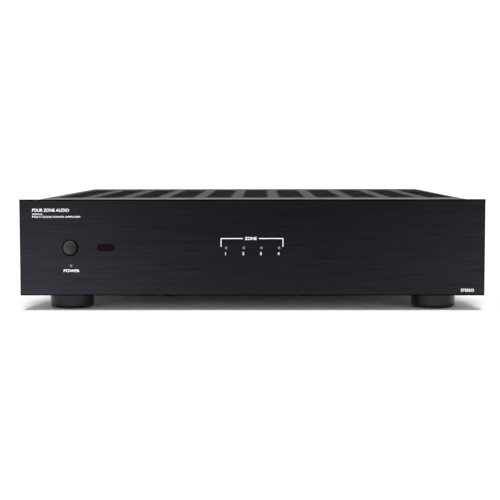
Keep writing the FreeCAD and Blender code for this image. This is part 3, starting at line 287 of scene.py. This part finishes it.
PLATE = (0.0094, 0.0102, 0.0134)
COVER = (0.014, 0.0145, 0.016)
REAR = (0.013, 0.013, 0.014)
FOOT = (0.010, 0.010, 0.011)
BLACK = (0.014, 0.014, 0.0145)
ZINC_DARK, ZINC_LIGHT, ZINC_EDGE = (0.30, 0.31, 0.32), (0.50, 0.50, 0.49), (0.62, 0.62, 0.60)
ACRYLIC_DARK, ACRYLIC_LIGHT = (0.0058, 0.0008, 0.0034), (0.0085, 0.0013, 0.0050)
MASK_DARK, MASK_LIGHT, MASK_TRACK = (0.010, 0.055, 0.028), (0.014, 0.070, 0.034), (0.030, 0.130, 0.050)
TIN = (0.62, 0.60, 0.56)
COPPER_DARK, COPPER_LIGHT = (0.20, 0.055, 0.012), (0.48, 0.16, 0.04)
TAPE, TAPE_LAP = (0.24, 0.13, 0.018), (0.10, 0.045, 0.008)
CAN_STRIPE, CAN_TOP = (0.42, 0.43, 0.42), (0.58, 0.58, 0.57)
POINTER = (0.75, 0.75, 0.72)
RIB_DARK, RIB_LIGHT, FIRST_CORE = (0.16, 0.16, 0.17), (0.34, 0.34, 0.35), (0.42, 0.03, 0.02)
BLUE_LEAD, BROWN_LEAD = (0.03, 0.07, 0.28), (0.09, 0.028, 0.012)
BLACK_LEAD, RED_LEAD, LEAD_BLOOM = (0.012, 0.012, 0.012), (0.42, 0.02, 0.015), (0.4, 0.4, 0.4)
INK_DARK, INK_LIGHT = (0.72, 0.72, 0.74), (0.85, 0.85, 0.86)

# Patterns in millimetres, the noise that bares an edge fully, and the winding's turns and leaning laps
BLOTCH, SPECK, SCRATCH = 45.0, 0.5, 0.004
RUBBED = 0.62
RING_PITCH = 0.45
TRACK_PITCH, TRACK_RUN, PAD_PITCH = 1.8, 17, 2.54
CORE_PITCH, RED_EDGE, PAIR_PITCH = 1.27, 2.8, 10
WIRE_TURNS, TAPE_LAPS, TAPE_LEAN = 210, 26, 0.35

# The plate's painted reflection grows away from an upright line at the first x and towards its foot, and
# its bevel, painted black as painted shade, is told by its slope
PAINTED_SHEEN_X, PAINTED_SHEEN_REACH = 45 * MM, 240 * MM
PAINTED_SHEEN_MIDDLE, PAINTED_SHEEN_FOOT, PAINTED_SHEEN_TOP = 0.44, 1.22, 0.72
BEVEL_FACING, BEVEL_NEAR, BEVEL_FAR = 0.72, 0.1, 0.24

# The lid: painted shade on the lands beside its slots (their width in millimetres) and on their cut walls,
# and a painted highlight on the margin behind the plate
LAND = 2.6
SLOT_WALL, SLOT_RIM, SLOT_PAINTED_SHADE = 1.3 * MM, 0.1 * MM, 0.1
MARGIN_FROM, MARGIN_TO = 45 * MM, 75 * MM
MARGIN_ROUGH, MARGIN_PAINTED_HIGHLIGHT = 0.72, 1.9

# The lean of the button's painted highlight, the sides of the live and low-voltage leads, and the knobs'
# pointers
PAINTED_HIGHLIGHT_LEAN = 0.35
LIVE_X, SUPPLY_X = -165 * MM, -100 * MM
KNOB_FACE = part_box("level_knob_1")[1].y - 0.45 * MM


def tint(colour, share):
    """A colour made lighter or darker."""
    return tuple(share * tone for tone in colour)


def mottled(recipe, colour, fine):
    """A colour with wide soft blotches and small pale specks."""
    blotches = recipe.spread(recipe.grain(BLOTCH, 4.0))
    base = recipe.mix(blotches, tint(colour, 0.85), tint(colour, 1.15))
    return recipe.mix(recipe.span(fine, 0.4, 0.75, 0.0, 0.5), base, tint(colour, 1.5))


def worn(recipe, base, wear, share, width=0.4, size=5.0, low=0.45):
    """A colour whose sharp edges are rubbed in patches to the wear colour, by a share."""
    patches = recipe.span(recipe.grain(size, 3.0), low, RUBBED)
    rubbed = recipe.times(recipe.edges(width), patches)
    return recipe.mix(recipe.times(rubbed, share), base, wear)


def coated(name, colour, rough, grain=0.35, depth=0.02, gloss=0.3, wear=None):
    """Paint, powder coat or moulded plastic: blotches, fine grain, relief and paler worn edges."""
    material, recipe = start(name)
    fine = recipe.grain(grain, 3.0)
    base = mottled(recipe, colour, fine)
    if wear:
        base = worn(recipe, base, wear, 0.6, low=0.42)
    roughness = recipe.spread(recipe.grain(BLOTCH / 3, 3.0), rough - 0.05, rough + 0.05)
    recipe.surface(Base_Color=base, Roughness=roughness, Specular_IOR_Level=gloss,
                   Normal=recipe.relief(fine, depth, recipe.rounded(0.25)))
    return material


def brushed(name, colour, rough, gloss, wear):
    """Black anodised metal brushed from side to side. A painted reflection in its colour and gloss fades
    towards the middle and the top, and its bevelled rim is painted black as painted shade."""
    material, recipe = start(name)
    spot = recipe.spot()
    bevel = recipe.math("ABSOLUTE", recipe.plus(recipe.facing()["Y"], BEVEL_FACING))
    flat = recipe.span(bevel, BEVEL_NEAR, BEVEL_FAR)
    # Painted reflection: colour and gloss are scaled brighter low down and away from the middle, and
    # scaled to black on the bevel as painted shade
    aside = recipe.over(recipe.minus(spot["X"], PAINTED_SHEEN_X), PAINTED_SHEEN_REACH)
    across = recipe.span(recipe.times(aside, aside), 0.0, 1.0, PAINTED_SHEEN_MIDDLE, 1.0)
    upward = recipe.span(spot["Z"], PLATE_LOW.z, PLATE_HIGH.z, PAINTED_SHEEN_FOOT, PAINTED_SHEEN_TOP)
    painted_sheen = recipe.times(recipe.times(across, upward), flat)
    hairs = recipe.grain(0.45, 3.0, (0.012, 1.0, 1.0))
    bands = recipe.grain(2.0, 2.0, (0.03, 1.0, 1.0))
    lines = recipe.plus(recipe.times(hairs, 0.55), recipe.times(bands, 0.45))
    base = recipe.mix(recipe.span(lines, 0.36, 0.64), tint(colour, 0.55), tint(colour, 1.45))
    base = recipe.mix(recipe.spread(recipe.grain(110.0, 3.0), 0.0, 0.3), base, tint(colour, 1.3))
    base = worn(recipe, base, wear, 0.2, width=0.3, size=9.0)
    recipe.surface(Base_Color=recipe.scaled(painted_sheen, base),
                   Roughness=recipe.span(lines, 0.35, 0.65, rough + 0.06, rough - 0.06),
                   Specular_IOR_Level=recipe.times(painted_sheen, gloss),
                   Normal=recipe.relief(lines, 0.008, recipe.rounded(0.2)))
    return material


def vented(name, colour, rough, gloss, wear):
    """Powder-coated sheet with painted shade, darker on the narrow lands and rims beside its slots and on
    their cut walls, and a painted highlight, more gloss and less roughness, next to the front plate."""
    material, recipe = start(name)
    fine = recipe.grain(SPECK, 3.0)
    spot = recipe.spot()
    # Painted shade: the lands near slot edges and the upper cut walls and bends are darkened in colour and
    # gloss
    lid = recipe.span(recipe.facing()["Z"], 0.8, 0.97)
    land_painted_shade = recipe.span(recipe.parts(recipe.rounded(LAND, 8))["Z"], 0.95, 0.9995)
    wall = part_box("top_cover")[1].z - SLOT_WALL
    wall_painted_shade = recipe.span(spot["Z"], wall, wall + SLOT_RIM, 1.0, SLOT_PAINTED_SHADE)
    shade = recipe.mix_value(lid, wall_painted_shade, land_painted_shade)
    # Painted highlight: near the plate the gloss is raised and the roughness lowered
    back = recipe.span(spot["Y"], FACE_Y + MARGIN_FROM, FACE_Y + MARGIN_TO)
    base = worn(recipe, mottled(recipe, colour, fine), wear, 0.3)
    roughness = recipe.spread(recipe.grain(BLOTCH / 3, 3.0), rough - 0.05, rough + 0.05)
    shine = recipe.times(recipe.span(back, 0.0, 1.0, MARGIN_PAINTED_HIGHLIGHT, 1.0), recipe.times(shade, gloss))
    recipe.surface(Base_Color=recipe.scaled(shade, base),
                   Roughness=recipe.times(roughness, recipe.span(back, 0.0, 1.0, MARGIN_ROUGH, 1.0)),
                   Specular_IOR_Level=shine, Normal=recipe.relief(fine, 0.02, recipe.rounded(0.25)))
    return material


def plated(name, colour, rough):
    """Bright plated metal with fine scratches and dull spots."""
    material, recipe = start(name)
    marks = recipe.grain(0.4, 2.0, (1.0, 5.0, 1.0))
    dull = recipe.grain(6.0, 4.0)
    base = recipe.mix(recipe.span(dull, 0.35, 0.7), colour, tint(colour, 0.72))
    base = recipe.mix(recipe.times(recipe.edges(0.2), 0.4), base, tint(colour, 1.3))
    roughness = recipe.span(recipe.plus(marks, dull), 0.7, 1.3, rough - 0.07, rough + 0.12)
    normal = recipe.relief(marks, SCRATCH, recipe.rounded(0.12))
    recipe.surface(Base_Color=base, Roughness=roughness, Metallic=1.0, Normal=normal)
    return material


def galvanised(name):
    """Zinc-coated sheet steel: crystal spangle, fine rolling lines and bright sheared edges."""
    material, recipe = start(name)
    spangle = recipe.cells(9.0)
    flake = recipe.add("ShaderNodeSeparateColor", {"Color": spangle.outputs["Color"]}).outputs["Red"]
    small = recipe.grain(1.5, 3.0)
    shade = recipe.plus(recipe.times(flake, 0.7), recipe.times(small, 0.3))
    base = recipe.mix(shade, ZINC_DARK, ZINC_LIGHT)
    base = recipe.mix(recipe.times(recipe.edges(0.3), 0.5), base, ZINC_EDGE)
    rolling = recipe.grain(0.6, 2.0, (1.0, 0.05, 1.0))
    normal = recipe.relief(rolling, SCRATCH, recipe.rounded(0.2))
    recipe.surface(Base_Color=base, Roughness=recipe.span(flake, 0.0, 1.0, 0.32, 0.5), Metallic=0.9,
                   Normal=normal)
    return material


def from_axis(recipe, x, z):
    """The distance in millimetres from a line that runs along Y through x and z."""
    spot = recipe.spot()
    across = recipe.minus(spot["X"], x)
    up = recipe.minus(spot["Z"], z)
    square = recipe.plus(recipe.times(across, across), recipe.times(up, up))
    return recipe.over(recipe.math("SQRT", square), MM)


def turned(name, colour, node):
    """Anodised metal turned on a lathe: fine rings, a lighter rim, and a painted highlight that makes one
    side lighter and the other darker.
    """
    material, recipe = start(name)
    low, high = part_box(node)
    radius = from_axis(recipe, (low.x + high.x) / 2, (low.z + high.z) / 2)
    ripple = recipe.math("SINE", recipe.times(radius, 2 * math.pi / RING_PITCH))
    drift = recipe.grain(3.0, 3.0)
    rings = recipe.plus(recipe.times(ripple, 0.3), drift)
    base = recipe.mix(recipe.span(rings, 0.2, 0.8), tint(colour, 0.75), tint(colour, 1.25))
    base = recipe.mix(recipe.times(recipe.edges(0.5), 0.8), base, tint(colour, 3.0))
    # Painted highlight and shade: colour and gloss lighter on one side of the button and darker on the
    # other
    spot = recipe.spot()
    glance = recipe.minus(spot["X"], recipe.times(spot["Z"], PAINTED_HIGHLIGHT_LEAN))
    turn = (low.x + high.x) / 2 - PAINTED_HIGHLIGHT_LEAN * (low.z + high.z) / 2
    half = (high.x - low.x) / 2
    painted_sheen = recipe.span(glance, turn - half, turn + half, 1.5, 0.25)
    normal = recipe.relief(ripple, 0.006, recipe.rounded(0.25))
    recipe.surface(Base_Color=recipe.scaled(painted_sheen, base), Roughness=recipe.spread(drift, 0.32, 0.46),
                   Metallic=0.35, Specular_IOR_Level=recipe.times(painted_sheen, 0.3), Normal=normal)
    return material


def smoked(name):
    """Dark red acrylic that lets infra-red through."""
    material, recipe = start(name)
    haze = recipe.grain(3.0, 3.0)
    base = recipe.mix(recipe.spread(haze), ACRYLIC_DARK, ACRYLIC_LIGHT)
    recipe.surface(Base_Color=base, Roughness=recipe.spread(haze, 0.06, 0.14), Specular_IOR_Level=0.04,
                   Normal=recipe.relief(haze, 0.004, recipe.rounded(0.2)))
    return material


def frosted(name, colour, glow):
    """The frosted end of a light pipe, lit faintly from behind."""
    material, recipe = start(name)
    speckle = recipe.grain(0.5, 3.0)
    base = recipe.mix(recipe.spread(speckle), tint(colour, 0.8), colour)
    recipe.surface(Base_Color=base, Roughness=recipe.spread(speckle, 0.25, 0.4),
                   Emission_Color=base, Emission_Strength=glow, Specular_IOR_Level=0.3,
                   Normal=recipe.relief(speckle, 0.01, recipe.rounded(0.15)))
    return material


def stripes(recipe, value, pitch, duty):
    """1 in a share of each pitch along the value, both in millimetres, and 0 elsewhere."""
    step = recipe.math("FRACT", recipe.over(value, pitch * MM))
    return recipe.below(step, duty)


def dice(recipe, first, second):
    """A steady random number for each whole pair of values."""
    whole = {"X": recipe.math("FLOOR", first), "Y": recipe.math("FLOOR", second)}
    pair = recipe.add("ShaderNodeCombineXYZ", whole).outputs[0]
    return recipe.add("ShaderNodeTexWhiteNoise", {"Vector": pair}, noise_dimensions="2D").outputs["Value"]


def circuit(name):
    """A printed board: green mask over copper tracks, and tinned pads in rows."""
    material, recipe = start(name)
    spot = recipe.spot()
    across = spot["X"]
    along = recipe.plus(spot["Y"], spot["Z"])
    runs = []
    for main, other in ((across, along), (along, across)):
        lane = recipe.over(main, TRACK_PITCH * MM)
        stretch = recipe.over(other, TRACK_RUN * MM)
        chosen = recipe.above(dice(recipe, lane, stretch), 0.55)
        runs.append(recipe.times(chosen, stripes(recipe, main, TRACK_PITCH, 0.5)))
    track = recipe.math("MAXIMUM", *runs)
    columns = recipe.over(across, PAD_PITCH * MM)
    rows = recipe.over(along, PAD_PITCH * MM)
    off_x = recipe.minus(recipe.math("FRACT", columns), 0.5)
    off_y = recipe.minus(recipe.math("FRACT", rows), 0.5)
    reach = recipe.math("SQRT", recipe.plus(recipe.times(off_x, off_x), recipe.times(off_y, off_y)))
    pad = recipe.times(recipe.below(reach, 0.33), recipe.above(dice(recipe, columns, rows), 0.86))
    mask = recipe.mix(recipe.spread(recipe.grain(2.0, 3.0)), MASK_DARK, MASK_LIGHT)
    base = recipe.mix(track, mask, MASK_TRACK)
    base = recipe.mix(pad, base, TIN)
    height = recipe.plus(track, pad)
    recipe.surface(Base_Color=base, Roughness=recipe.span(pad, 0.0, 1.0, 0.3, 0.25), Metallic=pad,
                   Normal=recipe.relief(height, 0.035))
    return material


def wound(name, node):
    """A ring winding under clear polyester tape: copper turns, tape laps and glossy film."""
    material, recipe = start(name)
    low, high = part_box(node)
    spot = recipe.spot()
    across = recipe.minus(spot["X"], (low.x + high.x) / 2)
    along = recipe.minus(spot["Y"], (low.y + high.y) / 2)
    turn = recipe.over(recipe.math("ARCTAN2", along, across), 2 * math.pi)
    wire = recipe.math("SINE", recipe.times(turn, 2 * math.pi * WIRE_TURNS))
    lean = recipe.plus(turn, recipe.times(spot["Z"], TAPE_LEAN))
    lap = recipe.math("FRACT", recipe.times(lean, TAPE_LAPS))
    copper = recipe.mix(recipe.span(wire, -1.0, 1.0), COPPER_DARK, COPPER_LIGHT)
    base = recipe.mix(recipe.span(lap, 0.0, 1.0, 0.35, 0.62), copper, TAPE)
    base = recipe.mix(recipe.below(lap, 0.05), base, TAPE_LAP)
    height = recipe.plus(recipe.times(wire, 0.25), lap)
    recipe.surface(Base_Color=base, Roughness=recipe.spread(recipe.grain(4.0), 0.18, 0.32),
                   Coat_Weight=0.6, Coat_Roughness=0.12, Normal=recipe.relief(height, 0.12))
    return material


def sleeved(name, colour, node):
    """Capacitors in shrink sleeve: a pale polarity stripe down the side and a bare scored metal top."""
    material, recipe = start(name)
    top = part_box(node)[1].z
    spot = recipe.spot()
    facing = recipe.facing()
    bare = recipe.times(recipe.above(facing["Z"], 0.9), recipe.above(spot["Z"], top - MM))
    stripe = recipe.above(facing["X"], 0.88)
    film = recipe.mix(recipe.spread(recipe.grain(2.5, 3.0)), tint(colour, 0.8), tint(colour, 1.2))
    film = recipe.mix(stripe, film, CAN_STRIPE)
    base = recipe.mix(bare, film, CAN_TOP)
    creases = recipe.grain(1.2, 3.0, (1.0, 1.0, 0.25))
    recipe.surface(Base_Color=base, Roughness=recipe.spread(creases, 0.24, 0.36), Metallic=bare,
                   Normal=recipe.relief(creases, 0.03, recipe.rounded(0.3)))
    return material


def marked(name, colour, face):
    """A moulded knob whose raised pointer is painted white."""
    material, recipe = start(name)
    fine = recipe.grain(0.25, 3.0)
    pointer = recipe.above(recipe.spot()["Y"], face)
    base = recipe.mix(recipe.span(fine, 0.35, 0.7), tint(colour, 0.8), tint(colour, 1.3))
    rubbed = recipe.times(recipe.edges(0.3), recipe.span(recipe.grain(2.0), 0.4, 0.6, 0.0, 0.5))
    base = recipe.mix(rubbed, base, tint(colour, 4.0))
    base = recipe.mix(pointer, base, POINTER)
    recipe.surface(Base_Color=base, Roughness=recipe.spread(fine, 0.42, 0.55),
                   Specular_IOR_Level=0.35, Normal=recipe.relief(fine, 0.012, recipe.rounded(0.2)))
    return material


def ribbed(name):
    """Flat cable: grey ribs over each conductor and a red first edge."""
    material, recipe = start(name)
    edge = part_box("ribbon_cable")[0].x
    spot = recipe.spot()
    rib = recipe.math("SINE", recipe.times(spot["X"], 2 * math.pi / (CORE_PITCH * MM)))
    base = recipe.mix(recipe.span(rib, -1.0, 0.2), RIB_DARK, RIB_LIGHT)
    base = recipe.mix(recipe.below(spot["X"], edge + RED_EDGE * MM), base, FIRST_CORE)
    soft = recipe.grain(3.0, 2.0)
    recipe.surface(Base_Color=base, Roughness=recipe.spread(soft, 0.38, 0.5),
                   Normal=recipe.relief(rib, 0.18, recipe.rounded(0.3)))
    return material


def insulated(name):
    """Insulated wires: mains leads brown and blue on the left, low-voltage leads red and black."""
    material, recipe = start(name)
    spot = recipe.spot()
    soft = recipe.grain(1.5, 3.0)
    mains = recipe.mix(recipe.above(spot["X"], LIVE_X), BLUE_LEAD, BROWN_LEAD)
    second = stripes(recipe, spot["X"], PAIR_PITCH, 0.45)
    pair = recipe.mix(second, BLACK_LEAD, RED_LEAD)
    colour = recipe.mix(recipe.above(spot["X"], SUPPLY_X), mains, pair)
    base = recipe.mix(recipe.span(soft, 0.3, 0.8, 0.0, 0.25), colour, LEAD_BLOOM)
    recipe.surface(Base_Color=base, Roughness=recipe.spread(soft, 0.32, 0.45),
                   Normal=recipe.relief(soft, 0.02))
    return material


def printed(name):
    """Screen-printed ink with a slightly uneven edge and a faint painted glow."""
    material, recipe = start(name)
    spots = recipe.grain(0.4, 3.0)
    base = recipe.mix(recipe.spread(spots), INK_DARK, INK_LIGHT)
    # Painted light: the ink glows faintly though it is no lamp
    recipe.surface(Base_Color=base, Roughness=recipe.spread(spots, 0.5, 0.62),
                   Emission_Color=base, Emission_Strength=0.12, Normal=recipe.relief(spots, 0.004))
    return material


MATERIALS = {
    "plate": brushed("plate", PLATE, 0.48, 0.12, (0.045, 0.045, 0.05)),
    "cover": vented("cover", COVER, 0.5, 0.25, (0.05, 0.05, 0.05)),
    "case": galvanised("case"),
    "rear": coated("rear", REAR, 0.5, grain=0.5, wear=(0.06, 0.06, 0.06)),
    "foot": coated("foot", FOOT, 0.32, grain=0.25, depth=0.006),
    "pad": coated("pad", (0.02, 0.02, 0.02), 0.85, grain=0.6, depth=0.05, gloss=0.2),
    "screw": plated("screw", (0.62, 0.60, 0.54), 0.3),
    "black_screw": coated("black_screw", BLACK, 0.35, wear=(0.20, 0.20, 0.19)),
    "button": turned("button", (0.020, 0.021, 0.023), "power_button"),
    "spring": plated("spring", (0.45, 0.44, 0.42), 0.25),
    "window": smoked("window"),
    "black_plastic": coated("black_plastic", BLACK, 0.42, grain=0.3),
    "light": frosted("light", (0.13, 0.127, 0.21), 0.12),
    "board": circuit("board"),
    "winding": wound("winding", "transformer_winding"),
    "can": sleeved("can", (0.012, 0.016, 0.030), "reservoir_capacitors"),
    "alloy": coated("alloy", (0.025, 0.025, 0.027), 0.4, wear=(0.3, 0.3, 0.3)),
    "nickel": plated("nickel", (0.66, 0.63, 0.57), 0.2),
    "white": coated("white", (0.68, 0.68, 0.65), 0.38, depth=0.008, gloss=0.5),
    "red": coated("red", (0.42, 0.018, 0.016), 0.36, depth=0.008, gloss=0.5),
    "knob": marked("knob", BLACK, KNOB_FACE),
    "green": coated("green", (0.02, 0.20, 0.06), 0.42, depth=0.01, gloss=0.45),
    "cable": ribbed("cable"),
    "lead": insulated("lead"),
}
INK = printed("ink")


def dress(node):
    """The finish of a node, chosen by its packed material, which stays on the mesh as a plain fallback."""
    slot = node.material_slots[0]
    finish = MATERIALS[slot.material.name]
    slot.link = "OBJECT"
    slot.material = finish


for node in NODES.values():
    dress(node)


# ---------------------------------------------------------------- lettering

INK_THICK = 0.03 * MM
INK_SUNK = 0.008 * MM
CAP_SHARE = 0.682
BOLD = 0.008

# Legends on the plate, in millimetres from its middle and up from its bottom edge
DIGIT_FIRST, DIGIT_PITCH, DIGIT_UP, DIGIT_CAP = -24.45, 16.3, 37.7, 2.6
BRACKET_REACH, BRACKET_TOP, BRACKET_FOOT, BRACKET_LINE = 28.9, 53.25, 45.3, 0.62
BRACKET_GAPS = ((-1, 8.5), (1, 6.4))
TITLE_LEFT = -203.0
TITLES = (("FOUR ZONE AUDIO", 77.9, 2.7, 34.0, BOLD), ("DIGITAL", 74.8, 1.5, 9.6, 0.0),
          ("MULTI-ZONE POWER AMPLIFIER", 72.3, 1.6, 44.6, 0.0))

# Legends on the rear panel
SMALL_CAP, LARGE_CAP, POLE_CAP = 1.9 * MM, 2.4 * MM, 1.7 * MM
WORD_ABOVE, WORD_BELOW, WORD_ASIDE, WORD_GAP = 8.2 * MM, 10.8 * MM, 7.6 * MM, 3 * MM
ZONE_WORD_SHIFT = 2 * MM
KNOB_TO_ZONE, ZONE_TO_JACK = 12.0 * MM, 16.0 * MM
SLEEVE_RADIUS = 4.15 * MM
POLES, POLE_PITCH, POLE_GAP = ("R+", "R-", "L-", "L+"), 5.08 * MM, 1.6 * MM
KNOB_TURN, KNOB_MARKS = math.radians(150), 11
DIAL_INNER, DIAL_OUTER, DIAL_END, DIAL_HALF = 6.3 * MM, 7.0 * MM, 7.6 * MM, 0.16 * MM

# Marks on the mains rocker, whose two halves lean away from its pivot
ROCKER_PIVOT_IN = 1.0 * MM
ROCKER_TILT = math.radians(10)
ROCKER_LEAN = math.atan(1.4 / 7.8)
ROCKER_MARK_OUT, ROCKER_MARK_UP, ROCKER_MARK_CAP = 2.7 * MM, 3.9 * MM, 3.0 * MM

# Turns the letters' own plane to face the rear
OUTWARDS = Matrix(((-1, 0, 0, 0), (0, 0, 1, 0), (0, 1, 0, 0), (0, 0, 0, 1)))


def front_spot(x, z):
    """The plane of the plate's face, with its own Z towards the viewer."""
    return Matrix(((1, 0, 0, x), (0, 0, -1, FACE_Y), (0, 1, 0, z), (0, 0, 0, 1)))


def rear_spot(x, z):
    """The plane of the rear panel's outer face, with its own Z outwards."""
    return Matrix.Translation((x, REAR_Y, z)) @ OUTWARDS


class Print:
    """Ink on one face, gathered into one piece."""

    def __init__(self, name, spot):
        self.name = name
        self.spot = spot
        self.mesh = bmesh.new()

    def gather(self, mesh, x, z):
        """A flat slab put in its place on the face."""
        lift = Matrix.Translation((0, 0, INK_THICK / 2 - INK_SUNK))
        mesh.transform(self.spot(x, z) @ lift)
        self.mesh.from_mesh(mesh)
        bpy.data.meshes.remove(mesh)

    def text(self, text, x, z, cap, width=None, align=0.5, bold=BOLD):
        """Letters with their baseline at z. Align is the share of their width that lies before x."""
        curve = bpy.data.curves.new("letters", "FONT")
        curve.body = text
        curve.offset = bold
        curve.extrude = INK_THICK / 2
        letters = bpy.data.objects.new("letters", curve)
        scene.collection.objects.link(letters)
        graph = bpy.context.evaluated_depsgraph_get()
        mesh = bpy.data.meshes.new_from_object(letters.evaluated_get(graph))
        bpy.data.objects.remove(letters)
        wide = [vertex.co.x for vertex in mesh.vertices]
        first, last = min(wide), max(wide)
        tall = cap / CAP_SHARE
        across = width / (last - first) if width else tall
        shift = Matrix.Translation((-first - align * (last - first), 0, 0))
        mesh.transform(Matrix.Diagonal((across, tall, 1, 1)) @ shift)
        self.gather(mesh, x, z)

    def slab(self, corners, x=0.0, z=0.0):
        """A flat shape from its corners, listed anticlockwise."""
        shape = bmesh.new()
        under, over = [[shape.verts.new((right, up, side * INK_THICK / 2)) for right, up in corners]
                       for side in (-1, 1)]
        shape.faces.new(under[::-1])
        shape.faces.new(over)
        for index in range(len(corners)):
            ahead = (index + 1) % len(corners)
            shape.faces.new((under[index], under[ahead], over[ahead], over[index]))
        mesh = bpy.data.meshes.new("slab")
        shape.to_mesh(mesh)
        shape.free()
        self.gather(mesh, x, z)

    def finish(self, body):
        """The piece, riding on its body."""
        bmesh.ops.remove_doubles(self.mesh, verts=self.mesh.verts, dist=INK_THICK / 100)
        mesh = bpy.data.meshes.new(self.name)
        self.mesh.to_mesh(mesh)
        self.mesh.free()
        mesh.materials.append(INK)
        piece = bpy.data.objects.new(self.name, mesh)
        scene.collection.objects.link(piece)
        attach(piece, body)


def on_plate(ink, word, x, up, cap, width=None, align=0.5, bold=BOLD):
    """A word on the plate, in millimetres."""
    width = width * MM if width else None
    ink.text(word, x * MM, PLATE_LOW.z + up * MM, cap * MM, width, align, bold)


def front_legends():
    """Words and lines on the plate."""
    power_x = sum(corner.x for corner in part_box("power_light_pipe")) / 2
    ink = Print("power_legend", front_spot)
    on_plate(ink, "POWER", power_x / MM + 0.4, 21.9, 2.5, 14.6)
    ink.finish("chassis")

    ink = Print("zone_legend", front_spot)
    for index in range(4):
        on_plate(ink, str(index + 1), DIGIT_FIRST + index * DIGIT_PITCH, DIGIT_UP, DIGIT_CAP)
    on_plate(ink, "ZONE", -1.1, 51.7, 2.6, 10.8)
    reach, top, foot, line = BRACKET_REACH, BRACKET_TOP, BRACKET_FOOT, BRACKET_LINE
    for side, gap in BRACKET_GAPS:
        corners = [(gap, top), (gap, top - line), (reach - line, top - line), (reach - line, foot),
                   (reach, foot), (reach, top)]
        path = [(side * x * MM, PLATE_LOW.z + z * MM) for x, z in corners]
        ink.slab(path if side > 0 else path[::-1])
    ink.finish("chassis")

    ink = Print("title_legend", front_spot)
    for words, up, cap, width, bold in TITLES:
        on_plate(ink, words, TITLE_LEFT, up, cap, width, 0.0, bold)
    ink.finish("chassis")

    ink = Print("stereo_legend", front_spot)
    on_plate(ink, "STEREO", 199.1, 3.6, 2.6, 11.8)
    ink.finish("chassis")


def middle(node):
    """The middle of a node's box."""
    low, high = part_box(node)
    return (low + high) / 2


def dial(ink, x, z):
    """Marks around a level control from its lowest to its highest setting."""
    for index in range(KNOB_MARKS):
        turn = KNOB_TURN * (2 * index / (KNOB_MARKS - 1) - 1)
        sine, cosine = math.sin(turn), math.cos(turn)
        outer = DIAL_END if index in (0, KNOB_MARKS // 2, KNOB_MARKS - 1) else DIAL_OUTER
        ends = ((DIAL_INNER, -DIAL_HALF), (DIAL_INNER, DIAL_HALF), (outer, DIAL_HALF), (outer, -DIAL_HALF))
        ink.slab([(far * sine + side * cosine, far * cosine - side * sine) for far, side in ends], x, z)


def rear_legends():
    """Words and dial marks on the rear panel, placed from the connectors they name."""
    ink = Print("rear_legends", rear_spot)
    header_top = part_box("speaker_headers")[1].z
    for zone in range(4):
        upper, lower = middle(f"level_knob_{2 * zone + 1}"), middle(f"level_knob_{2 * zone + 2}")
        zone_x = upper.x + KNOB_TO_ZONE
        jack_x = zone_x + ZONE_TO_JACK
        ink.text(f"ZONE {zone + 1}", zone_x + ZONE_WORD_SHIFT, upper.z + WORD_ABOVE, LARGE_CAP)
        ink.text("LEVEL", upper.x, lower.z - WORD_BELOW, SMALL_CAP)
        ink.text("IN", jack_x, lower.z - WORD_BELOW, SMALL_CAP)
        for spot, letter in ((upper, "L"), (lower, "R")):
            dial(ink, spot.x, spot.z)
            ink.text(letter, jack_x - WORD_ASIDE, spot.z - LARGE_CAP / 2, LARGE_CAP)
        for pole, sign in enumerate(POLES):
            ink.text(sign, zone_x + (pole - 1.5) * POLE_PITCH, header_top + POLE_GAP, POLE_CAP)
    bus_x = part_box("input_jack_sleeves")[0].x + SLEEVE_RADIUS
    upper, lower = middle("level_knob_1").z, middle("level_knob_2").z
    ink.text("BUS IN", bus_x, upper + WORD_ABOVE, LARGE_CAP)
    for height, letter in ((upper, "L"), (lower, "R")):
        ink.text(letter, bus_x - WORD_ASIDE, height - LARGE_CAP / 2, LARGE_CAP)
    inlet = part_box("mains_inlet")
    ink.text("AC IN", middle("mains_inlet").x, inlet[1].z + WORD_GAP, LARGE_CAP)
    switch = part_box("mains_switch")
    ink.text("POWER", middle("mains_switch").x, switch[1].z + WORD_GAP, SMALL_CAP)
    ink.finish("chassis")


def rocker_marks():
    """The on and off marks on the two halves of the mains rocker."""
    pivot = (middle("mains_rocker").x, REAR_Y - ROCKER_PIVOT_IN, middle("mains_switch").z)
    for side, name, letter in ((1, "rocker_on_mark", "I"), (-1, "rocker_off_mark", "O")):
        tilted = Matrix.Translation(pivot) @ Matrix.Rotation(ROCKER_TILT, 4, "X")
        raised = Matrix.Translation((0, ROCKER_MARK_OUT, side * ROCKER_MARK_UP))
        half = tilted @ raised @ Matrix.Rotation(-side * ROCKER_LEAN, 4, "X") @ OUTWARDS
        ink = Print(name, lambda x, z: half @ Matrix.Translation((x, z, 0)))
        ink.text(letter, 0, -ROCKER_MARK_CAP / 2, ROCKER_MARK_CAP)
        ink.finish("rocker")


front_legends()
rear_legends()
rocker_marks()
